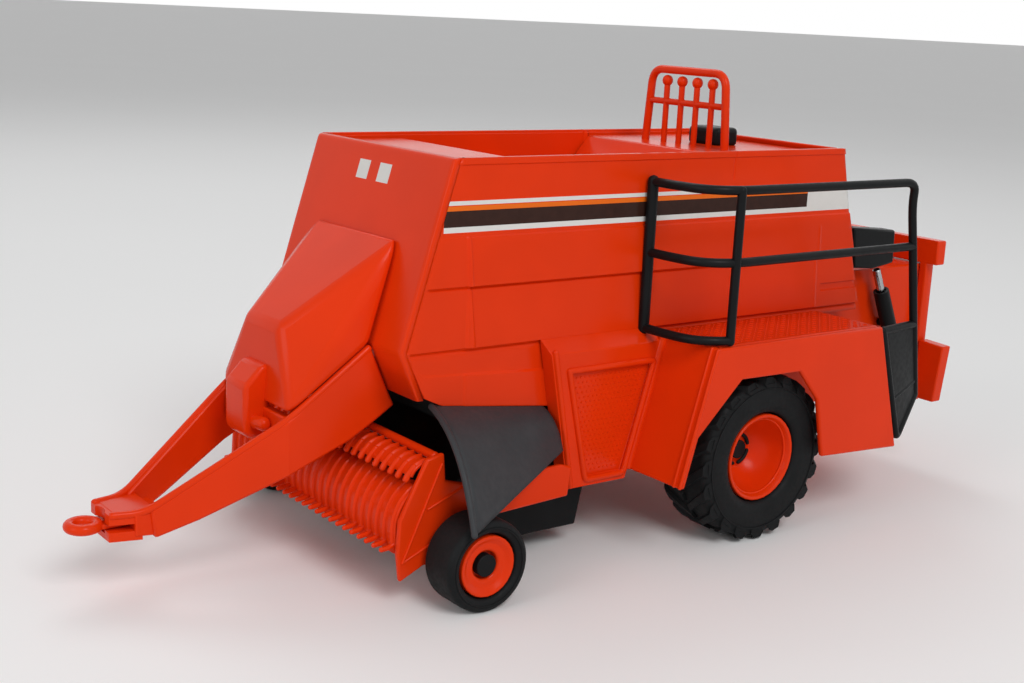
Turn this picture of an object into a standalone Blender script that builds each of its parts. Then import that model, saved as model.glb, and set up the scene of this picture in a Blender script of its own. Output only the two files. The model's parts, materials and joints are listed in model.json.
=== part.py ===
"""Toy scale model of a large square baler, about 1:32, standing on its own four wheels.

Frame: X across (the model's left side is +X), -Y forward towards the towing ring, Z up, floor at z = 0.
All sizes below are in millimetres; MM turns them into Blender's metres when a mesh is made.
"""
from math import pi, radians

import bmesh
import bpy
from mathutils import Matrix, Vector

MM = 0.001
GAP = 0.3                      # clearance between pieces that touch

# ---- body ------------------------------------------------------------------------------------------
BODY_HALF = 25.8               # half width over the side panels
PANEL = 1.5                    # thickness of side panels, fascia and rear wall
ROOF_Z = 82.7
ROOF_FRONT_Y = -49.9
ROOF_REAR_Y = 58.2
FASCIA_LEAN = 0.296            # forward run for each millimetre of drop
FASCIA_FOOT_Z = 46.2
CHIN_Z = 36.9                  # lower end of the return below the fascia
CHIN_BACK = 4.1                # how far the return runs back
REAR_LEAN = 0.252
SIDE_FOOT_Z = 44.4             # lower edge of the side panels over the wheels
ROOF_DROP = 1.2                # the roof deck lies below the side panels' upper edges
WELL_FLOOR_Z = 75.0
WELL_FRONT_Y = -30.2
WELL_REAR_Y = 23.2
WELL_SLOPE = 5.5

# ---- bale chamber and its rear frame -----------------------------------------------------------------
CHAMBER_HALF = BODY_HALF - 5.6  # the chamber runs inside the side panels
CHAMBER_FLOOR_Z = 20.6
CHAMBER_TOP_Z = 52.6
CHAMBER_FRONT_Y = -8.0
CHAMBER_REAR_Y = 100.6
CHAMBER_WALL = 1.4
YOKE_Y = 97.2
YOKE_DEPTH = 3.2
YOKE_POST = 2.0
YOKE_BEAM_HALF = CHAMBER_HALF + 5.4
YOKE_BEAM_HEIGHT = 6.1

# ---- wheels -------------------------------------------------------------------------------------------
MAIN_RADIUS = 18.5
MAIN_WIDTH = 13.6
MAIN_RIM = 9.6
MAIN_X = BODY_HALF + 9.8       # middle of the tyre
MAIN_Y = 22.4
HUB_FACE = -2.0                # the dished rim's hub, inwards of the tyre's middle
AXLE_RADIUS = 1.5
GAUGE_RADIUS = 9.0
GAUGE_WIDTH = 9.0
GAUGE_RIM = 6.0
GAUGE_X = BODY_HALF + 14.2
GAUGE_Y = -51.5
GAUGE_AXLE = 1.1
HUB_STEP = 1.4                 # face of the gauge rim's hub, outwards of the tyre's middle
RUNNING = 0.3                  # clearance of a bore on its axle

# ---- fenders, steps and screens -----------------------------------------------------------------------
FENDER_X = BODY_HALF + 19.8     # outer face
FENDER_SHEET = 1.2
FENDER_TOP_Z = 45.3
FENDER_FRONT_Y = 2.8
FENDER_LEAN = 0.281
FENDER_REAR_Y = 53.5
SCREEN_X = BODY_HALF + 3.9     # outer face of the screen housings
RAIL_RADIUS = 0.95
RAIL_X = FENDER_X - 1.0
RAIL_LEVELS = (46.2, 62.5, 77.1)

# ---- drawbar and driveline ------------------------------------------------------------------------------
BEAM_REAR_X = 16.2
BEAM_BEND = (14.7, -77.6)
BEAM_FRONT = (6.1, -101.5)
BEAM_SHEET = 2.0
RING_Y = -111.9
RING_Z = 13.9
RING_MAJOR = 2.6
RING_MINOR = 1.05
TONGUE = 0.8                   # thickness of the ring's tongue

# ---- pickup ---------------------------------------------------------------------------------------------
PICKUP_SIDE_X = BODY_HALF + 7.4  # inner face of a side frame
PICKUP_SHEET = 1.2
PICKUP_PIVOT = (-27.0, 19.0)
PIVOT_RADIUS = 1.2
PIVOT_SOCKET = 0.8             # depth of the blind pivot hole in a side frame
TINE_PITCH = 2.68
TINE_COUNT = 25
TINE = 1.0                     # width of a tine
RIB = 0.6                      # width of a stripper rib
FEEDER_HALF = BODY_HALF - 1.8

PARTS = "square_baler_model"
CUTTERS = "cutters"
SIDES = (("left", 1), ("right", -1))
FRAME = "frame"                # empty that carries the whole model
PICKUP = "pickup"              # empty on the pickup's pivot axis

RED = ("baler_red", (0.62, 0.035, 0.008), 0.32, 0.0)
BLACK = ("black_plastic", (0.012, 0.013, 0.013), 0.45, 0.0)
RUBBER = ("tyre_rubber", (0.020, 0.021, 0.022), 0.65, 0.0)
SKIRT = ("grey_rubber", (0.055, 0.056, 0.060), 0.6, 0.0)
STEEL = ("plated_steel", (0.42, 0.43, 0.44), 0.3, 1.0)


# ======================================= helpers ========================================================
def start_scene():
    """Empties the scene, makes the two collections and the empties that carry the moving bodies."""
    for obj in list(bpy.data.objects):
        bpy.data.objects.remove(obj, do_unlink=True)
    for name in (PARTS, CUTTERS):
        collection = bpy.data.collections.new(name)
        bpy.context.scene.collection.children.link(collection)
    empty(FRAME, (0, 0, 0))
    empty(PICKUP, (0, *PICKUP_PIVOT), FRAME)
    for word, side in SIDES:
        empty("main_wheel_" + word, (side * MAIN_X, MAIN_Y, MAIN_RADIUS), FRAME)
        empty("gauge_wheel_" + word, (side * GAUGE_X, GAUGE_Y, GAUGE_RADIUS), PICKUP)


def centre_model():
    """Slides the whole model so that the origin is under the middle of its length."""
    front = RING_Y - RING_MAJOR - RING_MINOR
    for cutter in bpy.data.collections[CUTTERS].objects:
        hang(cutter, FRAME)
    bpy.data.objects[FRAME].location.y = -(front + CHAMBER_REAR_Y) / 2 * MM


def material(finish):
    name, colour, roughness, metallic = finish
    found = bpy.data.materials.get(name)
    if found:
        return found
    made = bpy.data.materials.new(name)
    made.use_nodes = True
    shader = made.node_tree.nodes["Principled BSDF"]
    shader.inputs["Base Color"].default_value = (*colour, 1.0)
    shader.inputs["Roughness"].default_value = roughness
    shader.inputs["Metallic"].default_value = metallic
    return made


def empty(name, at, parent=None):
    """A named point that pieces hang on; a joint's pieces hang on one that lies on its axis."""
    obj = bpy.data.objects.new(name, None)
    bpy.data.collections[PARTS].objects.link(obj)
    obj.location = [c * MM for c in at]
    bpy.context.view_layer.update()
    if parent:
        hang(obj, parent)
    return obj


def hang(obj, parent_name):
    """Parents an object without moving it."""
    parent = bpy.data.objects[parent_name]
    obj.parent = parent
    obj.matrix_parent_inverse = parent.matrix_world.inverted()


def place(obj, name):
    """Gives a new object its name and puts it in the cutters' collection until it becomes a part."""
    obj.name = name
    for collection in list(obj.users_collection):
        collection.objects.unlink(obj)
    bpy.data.collections[CUTTERS].objects.link(obj)
    obj.hide_render = True
    obj.display_type = "WIRE"
    return obj


def part(obj, name, finish, carrier=FRAME):
    """Makes a shape one of the model's named pieces, hung on its carrier."""
    obj.name = name
    bpy.data.collections[CUTTERS].objects.unlink(obj)
    bpy.data.collections[PARTS].objects.link(obj)
    obj.hide_render = False
    obj.display_type = "TEXTURED"
    obj.data.materials.clear()
    obj.data.materials.append(material(finish))
    hang(obj, carrier)
    return obj


def from_bmesh(name, mesh_data):
    mesh = bpy.data.meshes.new(name)
    mesh_data.to_mesh(mesh)
    mesh_data.free()
    obj = bpy.data.objects.new(name, mesh)
    bpy.context.scene.collection.objects.link(obj)
    return place(obj, name)


def block(name, low, high):
    """A box between two corners."""
    shape = bmesh.new()
    bmesh.ops.create_cube(shape, size=1.0)
    size = [abs(b - a) * MM for a, b in zip(low, high)]
    middle = [(a + b) / 2 * MM for a, b in zip(low, high)]
    bmesh.ops.scale(shape, vec=size, verts=shape.verts)
    bmesh.ops.translate(shape, vec=middle, verts=shape.verts)
    return from_bmesh(name, shape)


def solid_from_curve(obj):
    """Turns a curve into a mesh with its caps welded on."""
    evaluated = obj.evaluated_get(bpy.context.evaluated_depsgraph_get())
    mesh = bpy.data.meshes.new_from_object(evaluated)
    shape = bmesh.new()
    shape.from_mesh(mesh)
    bmesh.ops.remove_doubles(shape, verts=shape.verts, dist=1e-6)
    bmesh.ops.transform(shape, matrix=obj.matrix_world, verts=shape.verts)
    bpy.data.meshes.remove(mesh)
    name = obj.name
    bpy.data.objects.remove(obj, do_unlink=True)
    return from_bmesh(name, shape)


TURNS = {
    "x": (radians(90), 0.0, radians(90)),      # outline is (y, z)
    "y": (radians(90), 0.0, 0.0),              # outline is (x, z)
    "z": (0.0, 0.0, 0.0),                      # outline is (x, y)
}


def prism(name, outline, axis, low, high):
    """A flat outline given thickness from low to high along an axis."""
    curve = bpy.data.curves.new(name, "CURVE")
    curve.dimensions = "2D"
    curve.fill_mode = "BOTH"
    curve.extrude = abs(high - low) / 2 * MM
    spline = curve.splines.new("POLY")
    spline.points.add(len(outline) - 1)
    for point, (u, v) in zip(spline.points, outline):
        point.co = (u * MM, v * MM, 0.0, 1.0)
    spline.use_cyclic_u = True
    obj = bpy.data.objects.new(name, curve)
    bpy.context.scene.collection.objects.link(obj)
    obj.rotation_euler = TURNS[axis]
    middle = (low + high) / 2 * MM
    obj.location = {"x": (middle, 0, 0), "y": (0, middle, 0), "z": (0, 0, middle)}[axis]
    bpy.context.view_layer.update()
    return solid_from_curve(obj)


def rod(name, start, end, radius, sides=12):
    """A round bar between two points."""
    a, b = Vector(start) * MM, Vector(end) * MM
    shape = bmesh.new()
    bmesh.ops.create_cone(shape, cap_ends=True, segments=sides, radius1=radius * MM,
                          radius2=radius * MM, depth=(b - a).length)
    turn = (b - a).to_track_quat("Z", "Y").to_matrix().to_4x4()
    bmesh.ops.transform(shape, matrix=Matrix.Translation((a + b) / 2) @ turn, verts=shape.verts)
    return from_bmesh(name, shape)


def tube(name, points, radius):
    """A bent round bar along points, with filled ends."""
    curve = bpy.data.curves.new(name, "CURVE")
    curve.dimensions = "3D"
    curve.bevel_depth = radius * MM
    curve.bevel_resolution = 1
    curve.use_fill_caps = True
    spline = curve.splines.new("POLY")
    spline.points.add(len(points) - 1)
    for point, place_at in zip(spline.points, points):
        point.co = (*(Vector(place_at) * MM), 1.0)
    obj = bpy.data.objects.new(name, curve)
    bpy.context.scene.collection.objects.link(obj)
    bpy.context.view_layer.update()
    return solid_from_curve(obj)


def turned(name, profile, centre, side, steps):
    """A closed profile of (radius, height) turned about the X axis; height runs outwards on that side."""
    mesh = bpy.data.meshes.new(name)
    points = [(r * MM, 0.0, h * MM) for r, h in profile]
    edges = [(i, (i + 1) % len(points)) for i in range(len(points))]
    mesh.from_pydata(points, edges, [])
    obj = bpy.data.objects.new(name, mesh)
    bpy.context.scene.collection.objects.link(obj)
    place(obj, name)
    screw = obj.modifiers.new("turn", "SCREW")
    screw.angle = 2 * pi
    screw.steps = steps
    screw.render_steps = steps
    screw.use_merge_vertices = True
    screw.merge_threshold = 1e-6
    obj.rotation_euler = (0.0, radians(90) * side, 0.0)
    obj.location = [c * MM for c in centre]
    return obj


def hull(name, corners):
    """The smallest convex solid round some corners."""
    shape = bmesh.new()
    for corner in corners:
        shape.verts.new([c * MM for c in corner])
    bmesh.ops.convex_hull(shape, input=shape.verts)
    bmesh.ops.recalc_face_normals(shape, faces=shape.faces)
    return from_bmesh(name, shape)


def combine(target, tools, operation):
    for tool in tools:
        step = target.modifiers.new(tool.name, "BOOLEAN")
        step.operation = operation
        step.solver = "EXACT"
        step.object = tool
    return target


def joined(target, *tools):
    return combine(target, tools, "UNION")


def cut(target, *tools):
    return combine(target, tools, "DIFFERENCE")


def loose_copies(name, outline, middles, width):
    """Equal slices of one outline side by side along X, in one mesh."""
    first = prism(name, outline, "x", -width / 2, width / 2)
    shape = bmesh.new()
    for middle in middles:
        before = set(shape.verts)
        shape.from_mesh(first.data)
        fresh = [v for v in shape.verts if v not in before]
        bmesh.ops.translate(shape, vec=(middle * MM, 0, 0), verts=fresh)
    bpy.data.objects.remove(first, do_unlink=True)
    return from_bmesh(name, shape)


def spread(side, inner, outer):
    """An X range on one side of the model, lowest value first."""
    return sorted((side * inner, side * outer))


# ====================================== derived places ====================================================
def fascia_y(z):
    """Front face of the fascia at a height."""
    return ROOF_FRONT_Y - FASCIA_LEAN * (ROOF_Z - z)


def rear_y(z):
    """Rear edge of the side panels at a height."""
    return ROOF_REAR_Y + REAR_LEAN * (ROOF_Z - z)


def fender_y(z):
    """Front face of the fender's leaning front sheet at a height."""
    return FENDER_FRONT_Y - FENDER_LEAN * (FENDER_TOP_Z - z)


CHIN_Y = fascia_y(FASCIA_FOOT_Z) + CHIN_BACK


# ========================================== body =============================================================
def side_panels():
    """Full side walls; the front part reaches lower, down to the rubber skirt."""
    back = PANEL + GAP
    outline = [
        (fascia_y(ROOF_Z) + back, ROOF_Z),
        (rear_y(ROOF_Z), ROOF_Z),
        (rear_y(SIDE_FOOT_Z), SIDE_FOOT_Z),
        (-18.0, SIDE_FOOT_Z),
        (-18.0, 32.0),
        (-25.3, 32.3),
        (-51.0, 35.4),
        (CHIN_Y + 1.6, CHIN_Z + 0.4),
        (fascia_y(FASCIA_FOOT_Z) + back + 0.2, FASCIA_FOOT_Z),
    ]
    for word, side in SIDES:
        low, high = spread(side, BODY_HALF - PANEL, BODY_HALF)
        part(prism("wall", outline, "x", low, high), "side_panel_" + word, RED)


def front_fascia():
    """Leaning front wall with a return below it."""
    foot = (fascia_y(FASCIA_FOOT_Z), FASCIA_FOOT_Z)
    outline = [
        (fascia_y(ROOF_Z), ROOF_Z),
        foot,
        (CHIN_Y, CHIN_Z),
        (CHIN_Y + PANEL, CHIN_Z),
        (foot[0] + PANEL, foot[1]),
        (fascia_y(ROOF_Z) + PANEL, ROOF_Z),
    ]
    part(prism("fascia", outline, "x", -BODY_HALF, BODY_HALF), "front_fascia", RED)


def roof():
    """Roof sheet with the long well that holds the twine gear in a real machine."""
    half = BODY_HALF - PANEL - GAP
    front = fascia_y(ROOF_Z) + PANEL + GAP + FASCIA_LEAN * PANEL
    rear = rear_y(ROOF_Z) - PANEL - GAP
    deck = ROOF_Z - ROOF_DROP
    top = [
        (front, deck), (WELL_FRONT_Y, deck), (WELL_FRONT_Y + WELL_SLOPE, WELL_FLOOR_Z),
        (WELL_REAR_Y - WELL_SLOPE, WELL_FLOOR_Z), (WELL_REAR_Y, deck), (rear, deck),
    ]
    under = [(y, z - PANEL) for y, z in reversed(top)]
    part(prism("roof", top + under, "x", -half, half), "roof_deck", RED)


def rear_wall():
    """Leaning rear wall between the side panels, open round the bale chamber."""
    half = BODY_HALF - PANEL - GAP
    outline = [
        (rear_y(ROOF_Z) - PANEL, ROOF_Z), (rear_y(ROOF_Z), ROOF_Z),
        (rear_y(SIDE_FOOT_Z), SIDE_FOOT_Z), (rear_y(SIDE_FOOT_Z) - PANEL, SIDE_FOOT_Z),
    ]
    wall = prism("rear_wall", outline, "x", -half, half)
    opening = block("chamber_opening",
                    (-CHAMBER_HALF - GAP, CHAMBER_FRONT_Y, CHAMBER_FLOOR_Z - GAP),
                    (CHAMBER_HALF + GAP, CHAMBER_REAR_Y, CHAMBER_TOP_Z + GAP))
    part(cut(wall, opening), "rear_wall", RED)


def bale_chamber():
    """Long square duct, open at its rear end, that the bale leaves through."""
    duct = block("duct", (-CHAMBER_HALF, CHAMBER_FRONT_Y, CHAMBER_FLOOR_Z),
                 (CHAMBER_HALF, CHAMBER_REAR_Y, CHAMBER_TOP_Z))
    inside = CHAMBER_HALF - CHAMBER_WALL
    bore = block("duct_bore", (-inside, CHAMBER_FRONT_Y + CHAMBER_WALL, CHAMBER_FLOOR_Z + CHAMBER_WALL),
                 (inside, CHAMBER_REAR_Y + 1.0, CHAMBER_TOP_Z - CHAMBER_WALL))
    part(cut(duct, bore), "bale_chamber", RED)


# ====================================== rear density frame =================================================
def density_yoke():
    """Heavy frame round the end of the chamber: top beam, two posts and a bottom beam."""
    y0, y1 = YOKE_Y, YOKE_Y + YOKE_DEPTH
    inner = CHAMBER_HALF + GAP
    outer = inner + YOKE_POST
    top = CHAMBER_TOP_Z + GAP
    foot = CHAMBER_FLOOR_Z - GAP
    beam = block("yoke_beam", (-YOKE_BEAM_HALF, y0, top), (YOKE_BEAM_HALF, y1, top + YOKE_BEAM_HEIGHT))
    posts = [block("yoke_post", (low, y0, foot - 3.0), (high, y1, top + 1.0))
             for low, high in (spread(side, inner, outer) for _, side in SIDES)]
    sill = block("yoke_sill", (-outer, y0, foot - 3.0), (outer, y1, foot))
    part(joined(beam, *posts, sill), "density_yoke", RED)


def rear_side_boxes():
    """Tapered boxes on the yoke's posts, low down at each side."""
    inner = CHAMBER_HALF + 2 * GAP + YOKE_POST
    for word, side in SIDES:
        outline = [(side * inner, 18.4), (side * (inner + 6.1), 18.4), (side * (inner + 7.5), 33.0), (side * inner, 33.4)]
        if side < 0:
            outline.reverse()
        part(prism("box", outline, "y", YOKE_Y, YOKE_Y + YOKE_DEPTH), "rear_side_box_" + word, RED)


CYLINDER_X = CHAMBER_HALF + 3.2
CYLINDER_TOP = (76.9, 53.0)
CYLINDER_FOOT = (84.6, 37.0)
CYLINDER_RADIUS = 1.9
CYLINDER_ROD = 1.0


def along_cylinder(share):
    """A point on the cylinder's centre line, from its foot (0) to its top (1)."""
    return [f + (t - f) * share for f, t in zip(CYLINDER_FOOT, CYLINDER_TOP)]


def density_cylinders():
    """Leaning cylinder at each side of the chamber: barrel with its foot lug, and the rod."""
    for word, side in SIDES:
        x = side * CYLINDER_X
        foot, neck, top = along_cylinder(0.0), along_cylinder(0.66), along_cylinder(1.0)
        barrel = rod("barrel", (x, *foot), (x, *neck), CYLINDER_RADIUS, 16)
        bore = rod("barrel_bore", (x, *along_cylinder(0.45)), (x, *along_cylinder(0.8)),
                   CYLINDER_ROD + GAP, 12)
        pin_at = along_cylinder(0.12)
        lug = rod("foot_pin", (side * (CHAMBER_HALF + GAP), *pin_at), (x, *pin_at), 1.0, 10)
        part(joined(cut(barrel, bore), lug), "cylinder_barrel_" + word, BLACK)
        part(rod("rod", (x, *along_cylinder(0.47)), (x, *top), CYLINDER_ROD, 12),
             "cylinder_rod_" + word, STEEL)


def tension_brackets():
    """Black brackets on the chamber's sides that the cylinder rods pull down."""
    top_y, top_z = CYLINDER_TOP
    outline = [(rear_y(54.2) + 1.2, 54.2), (74.0, 53.0 + 2 * GAP), (top_y + 1.6, top_z + GAP + 0.9),
               (81.0, 54.6), (80.6, 62.6), (rear_y(63.9) + 2.5, 63.9)]
    for word, side in SIDES:
        low, high = spread(side, CHAMBER_HALF + GAP, CHAMBER_HALF + GAP + 4.6)
        part(prism("bracket", outline, "x", low, high), "tension_bracket_" + word, BLACK)


# ========================================= wheels ============================================================
def tyre_profile(radius, width, rim, shoulder, bead):
    """Closed ring section, outer side first from top to bottom, then the bore."""
    half = width / 2
    side_r = rim + (radius - rim) * 0.62
    upper = [(rim + GAP, half - bead), (side_r, half), (radius - shoulder * 0.35, half - shoulder * 0.55),
             (radius, half - shoulder)]
    lower = [(r, -h) for r, h in reversed(upper)]
    return upper + lower


def main_wheels():
    half = MAIN_WIDTH / 2
    bore = AXLE_RADIUS + RUNNING
    rim = [
        (MAIN_RIM, half - 0.9), (MAIN_RIM, 1.0 - half), (MAIN_RIM - 1.0, 1.0 - half),
        (MAIN_RIM - 1.0, -1.6), (4.6, -4.4), (4.6, -5.4), (bore, -5.4), (bore, HUB_FACE), (2.8, HUB_FACE),
        (4.4, -2.2), (6.4, -0.2), (MAIN_RIM - 1.7, 2.6), (MAIN_RIM - 1.3, half - 2.0),
        (MAIN_RIM - 0.6, half - 0.9),
    ]
    for word, side in SIDES:
        centre = (side * MAIN_X, MAIN_Y, MAIN_RADIUS)
        tyre = turned("tyre", tyre_profile(MAIN_RADIUS, MAIN_WIDTH, MAIN_RIM, 2.2, 0.8), centre, side, 40)
        part(tyre, "main_tyre_" + word, RUBBER, "main_wheel_" + word)
        part(turned("rim", rim, centre, side, 32), "main_rim_" + word, RED, "main_wheel_" + word)


def main_axle():
    """Beam under the chamber with a spindle and a retaining cap at each end."""
    beam_half = BODY_HALF + 0.2
    top = CHAMBER_FLOOR_Z - GAP
    beam = block("axle_beam", (-beam_half, MAIN_Y - 2.2, MAIN_RADIUS - 1.8), (beam_half, MAIN_Y + 2.2, top))
    cap_x = MAIN_X + HUB_FACE + GAP
    pieces = []
    for _, side in SIDES:
        pieces.append(rod("spindle", (side * (beam_half - 2), MAIN_Y, MAIN_RADIUS),
                          (side * (cap_x + 0.5), MAIN_Y, MAIN_RADIUS), AXLE_RADIUS, 16))
        pieces.append(rod("cap", (side * cap_x, MAIN_Y, MAIN_RADIUS),
                          (side * (cap_x + 0.8), MAIN_Y, MAIN_RADIUS), 2.1, 16))
    part(joined(beam, *pieces), "main_axle", BLACK)


def gauge_wheels():
    half = GAUGE_WIDTH / 2
    bore = GAUGE_AXLE + RUNNING
    rim = [
        (GAUGE_RIM, half - 0.5), (GAUGE_RIM, 0.7 - half), (GAUGE_RIM - 0.8, 0.7 - half),
        (GAUGE_RIM - 0.8, 0.2), (3.0, 0.2), (3.0, -2.4), (bore, -2.4), (bore, HUB_STEP), (2.7, HUB_STEP),
        (2.7, 2.7), (3.2, 3.1), (4.4, 3.1), (GAUGE_RIM - 0.6, half - 0.6),
    ]
    cap_x = GAUGE_X + HUB_STEP + GAP
    inner_x = PICKUP_SIDE_X + PICKUP_SHEET + GAP
    for word, side in SIDES:
        centre = (side * GAUGE_X, GAUGE_Y, GAUGE_RADIUS)
        tyre = turned("tyre", tyre_profile(GAUGE_RADIUS, GAUGE_WIDTH, GAUGE_RIM, 2.0, 0.4), centre, side, 32)
        part(tyre, "gauge_tyre_" + word, RUBBER, "gauge_wheel_" + word)
        part(turned("rim", rim, centre, side, 28), "gauge_rim_" + word, RED, "gauge_wheel_" + word)
        stub = rod("stub", (side * inner_x, GAUGE_Y, GAUGE_RADIUS),
                   (side * (cap_x + 0.5), GAUGE_Y, GAUGE_RADIUS), GAUGE_AXLE, 16)
        cap = rod("cap", (side * cap_x, GAUGE_Y, GAUGE_RADIUS),
                  (side * (cap_x + 1.7), GAUGE_Y, GAUGE_RADIUS), 2.2, 16)
        part(joined(stub, cap), "gauge_axle_" + word, BLACK, PICKUP)


# ==================================== fenders, screens, steps ================================================
def fenders():
    """Leaning front sheet and outer sheet with the six-sided wheel opening."""
    inner = BODY_HALF + GAP
    foot_z = 16.8
    outer_sheet = [
        (fender_y(FENDER_TOP_Z), FENDER_TOP_Z), (FENDER_REAR_Y, FENDER_TOP_Z), (62.4, 16.3), (37.2, 17.6),
        (34.1, 30.9), (27.8, 37.9), (10.3, 38.1), (-1.3, 26.9), (fender_y(26.9), 26.9),
    ]
    thick = FENDER_SHEET * 1.04
    front_sheet = [
        (fender_y(FENDER_TOP_Z), FENDER_TOP_Z), (fender_y(foot_z), foot_z),
        (fender_y(foot_z) + thick, foot_z), (fender_y(FENDER_TOP_Z) + thick, FENDER_TOP_Z),
    ]
    for word, side in SIDES:
        outer = prism("outer", outer_sheet, "x", *spread(side, FENDER_X - FENDER_SHEET, FENDER_X))
        front = prism("front", front_sheet, "x", *spread(side, inner, FENDER_X))
        part(joined(outer, front), "fender_" + word, RED)


def tread_plates():
    """Walk-on plate over each wheel, from the body to the fender's outer sheet."""
    start = fender_y(FENDER_TOP_Z) + FENDER_SHEET * 1.04 + GAP
    for word, side in SIDES:
        low, high = spread(side, BODY_HALF + GAP, FENDER_X - FENDER_SHEET - GAP)
        plate = block("plate", (low, start, FENDER_TOP_Z - FENDER_SHEET), (high, FENDER_REAR_Y, FENDER_TOP_Z))
        part(plate, "tread_plate_" + word, RED)


def screen_boxes():
    """Tapered screen housing on each side, with a shallow recess for its mesh."""
    top_z, hood_z, foot_z = 43.8, 46.4, 15.0
    top_front, foot_front = -27.5, -21.8
    front_gap = GAP * 1.1
    outline = [
        (top_front - 0.6, hood_z), (foot_front, foot_z),
        (fender_y(foot_z) - front_gap, foot_z), (fender_y(hood_z) - front_gap, hood_z),
    ]
    slope = [(SCREEN_X + 1.0, top_z - 0.8), (SCREEN_X + 1.0, hood_z + 1.0), (BODY_HALF - 1.0, hood_z + 1.0),
             (BODY_HALF + GAP + 0.4, hood_z)]
    recess = [(-22.6, 39.6), (-17.0, 16.8), (-7.2, 16.8), (-0.4, 39.6)]
    for word, side in SIDES:
        box = prism("screen", outline, "x", *spread(side, BODY_HALF + GAP, SCREEN_X))
        pocket = prism("recess", recess, "x", *spread(side, SCREEN_X - 0.8, SCREEN_X + 1.0))
        hood = prism("hood_slope", [(side * x, z) for x, z in slope][::side], "y", -40.0, 10.0)
        part(cut(box, pocket, hood), "screen_box_" + word, RED)


def rail_path(z):
    """One rail: from the body's side, round the platform's front corner, to the second post."""
    inner = BODY_HALF + GAP + RAIL_RADIUS
    return [(inner, -1.2, z), (34.0, -1.0, z), (39.5, 0.1, z), (42.8, 2.4, z), (RAIL_X, 6.6, z)]


LADDER_FRONT = ((RAIL_X - 0.2, FENDER_REAR_Y + 1.5, 44.0), (RAIL_X - 0.2, 63.6, 18.0))
LADDER_REAR = ((RAIL_X - 1.1, 63.6, RAIL_LEVELS[1]), (RAIL_X - 3.3, 72.8, 26.6))
RAIL_CORNER = ((RAIL_X, 55.4, RAIL_LEVELS[2]), (RAIL_X - 0.1, 57.8, 76.6), (RAIL_X - 0.3, 59.8, 75.4),
               (RAIL_X - 0.5, 61.0, 73.2), (RAIL_X - 0.6, 61.3, 71.6))
LADDER_SHEET = 0.9


def railing():
    """Black guard rail on the left platform, and the ladder behind it with its closed back."""
    low, middle, high = RAIL_LEVELS
    rear_mid, rear_foot = LADDER_REAR
    first = tube("rail", rail_path(high) + list(RAIL_CORNER) + list(LADDER_REAR), RAIL_RADIUS)
    mid = tube("rail", rail_path(middle) + [rear_mid], RAIL_RADIUS)
    bottom = tube("rail", rail_path(low + RAIL_RADIUS / 2), RAIL_RADIUS)
    posts = [rod("post", (x, y, low + 0.2), (x, y, high + 0.4), radius, 10)
             for x, y, radius in ((BODY_HALF + GAP + 1.15, -1.2, 1.1), (RAIL_X, 6.6, RAIL_RADIUS))]
    front_top, front_foot = LADDER_FRONT
    stringer = tube("stringer", [front_top, front_foot, rear_foot], RAIL_RADIUS)
    top_z = front_top[2]
    rear_top = Vector(rear_mid).lerp(Vector(rear_foot), (rear_mid[2] - top_z) / (rear_mid[2] - rear_foot[2]))
    tread = rod("tread", front_top, rear_top, RAIL_RADIUS, 10)
    back = hull("ladder_back", [(x + shift, y, z) for x, y, z in (front_top, rear_top, rear_foot, front_foot)
                                for shift in (-LADDER_SHEET / 2, LADDER_SHEET / 2)])
    part(joined(first, mid, bottom, *posts, stringer, tread, back), "railing", BLACK)


def telltales():
    """Rounded frame across the rear roof with four upright ball-headed indicators."""
    y, base, top = 32.3, ROOF_Z - ROOF_DROP + GAP, ROOF_Z + 16.5
    outer = [(14.2, base), (13.0, top - 3.2), (12.3, top - 1.2), (10.4, top)]
    inner = [(12.4, base), (11.3, top - 3.9), (10.8, top - 2.5), (9.6, top - 1.9)]
    arch = outer + [(-x, z) for x, z in reversed(outer)] + [(-x, z) for x, z in inner]
    arch += list(reversed(inner))
    frame = prism("arch", arch, "y", y - 0.9, y + 0.9)
    bar_z = ROOF_Z + 8.2
    tools = [block("cross_bar", (-12.4, y - 0.5, bar_z - 0.6), (12.4, y + 0.5, bar_z + 0.6))]
    ball_z = ROOF_Z + 13.0
    for x in (-6.9, -1.9, 3.1, 8.1):
        tools.append(rod("indicator", (x, y, base), (x, y, ball_z), 0.75, 10))
        ball = bmesh.new()
        bmesh.ops.create_uvsphere(ball, u_segments=12, v_segments=8, radius=1.25 * MM)
        bmesh.ops.translate(ball, vec=(x * MM, y * MM, ball_z * MM), verts=ball.verts)
        tools.append(from_bmesh("ball", ball))
    part(joined(frame, *tools), "telltale_frame", RED)


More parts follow.
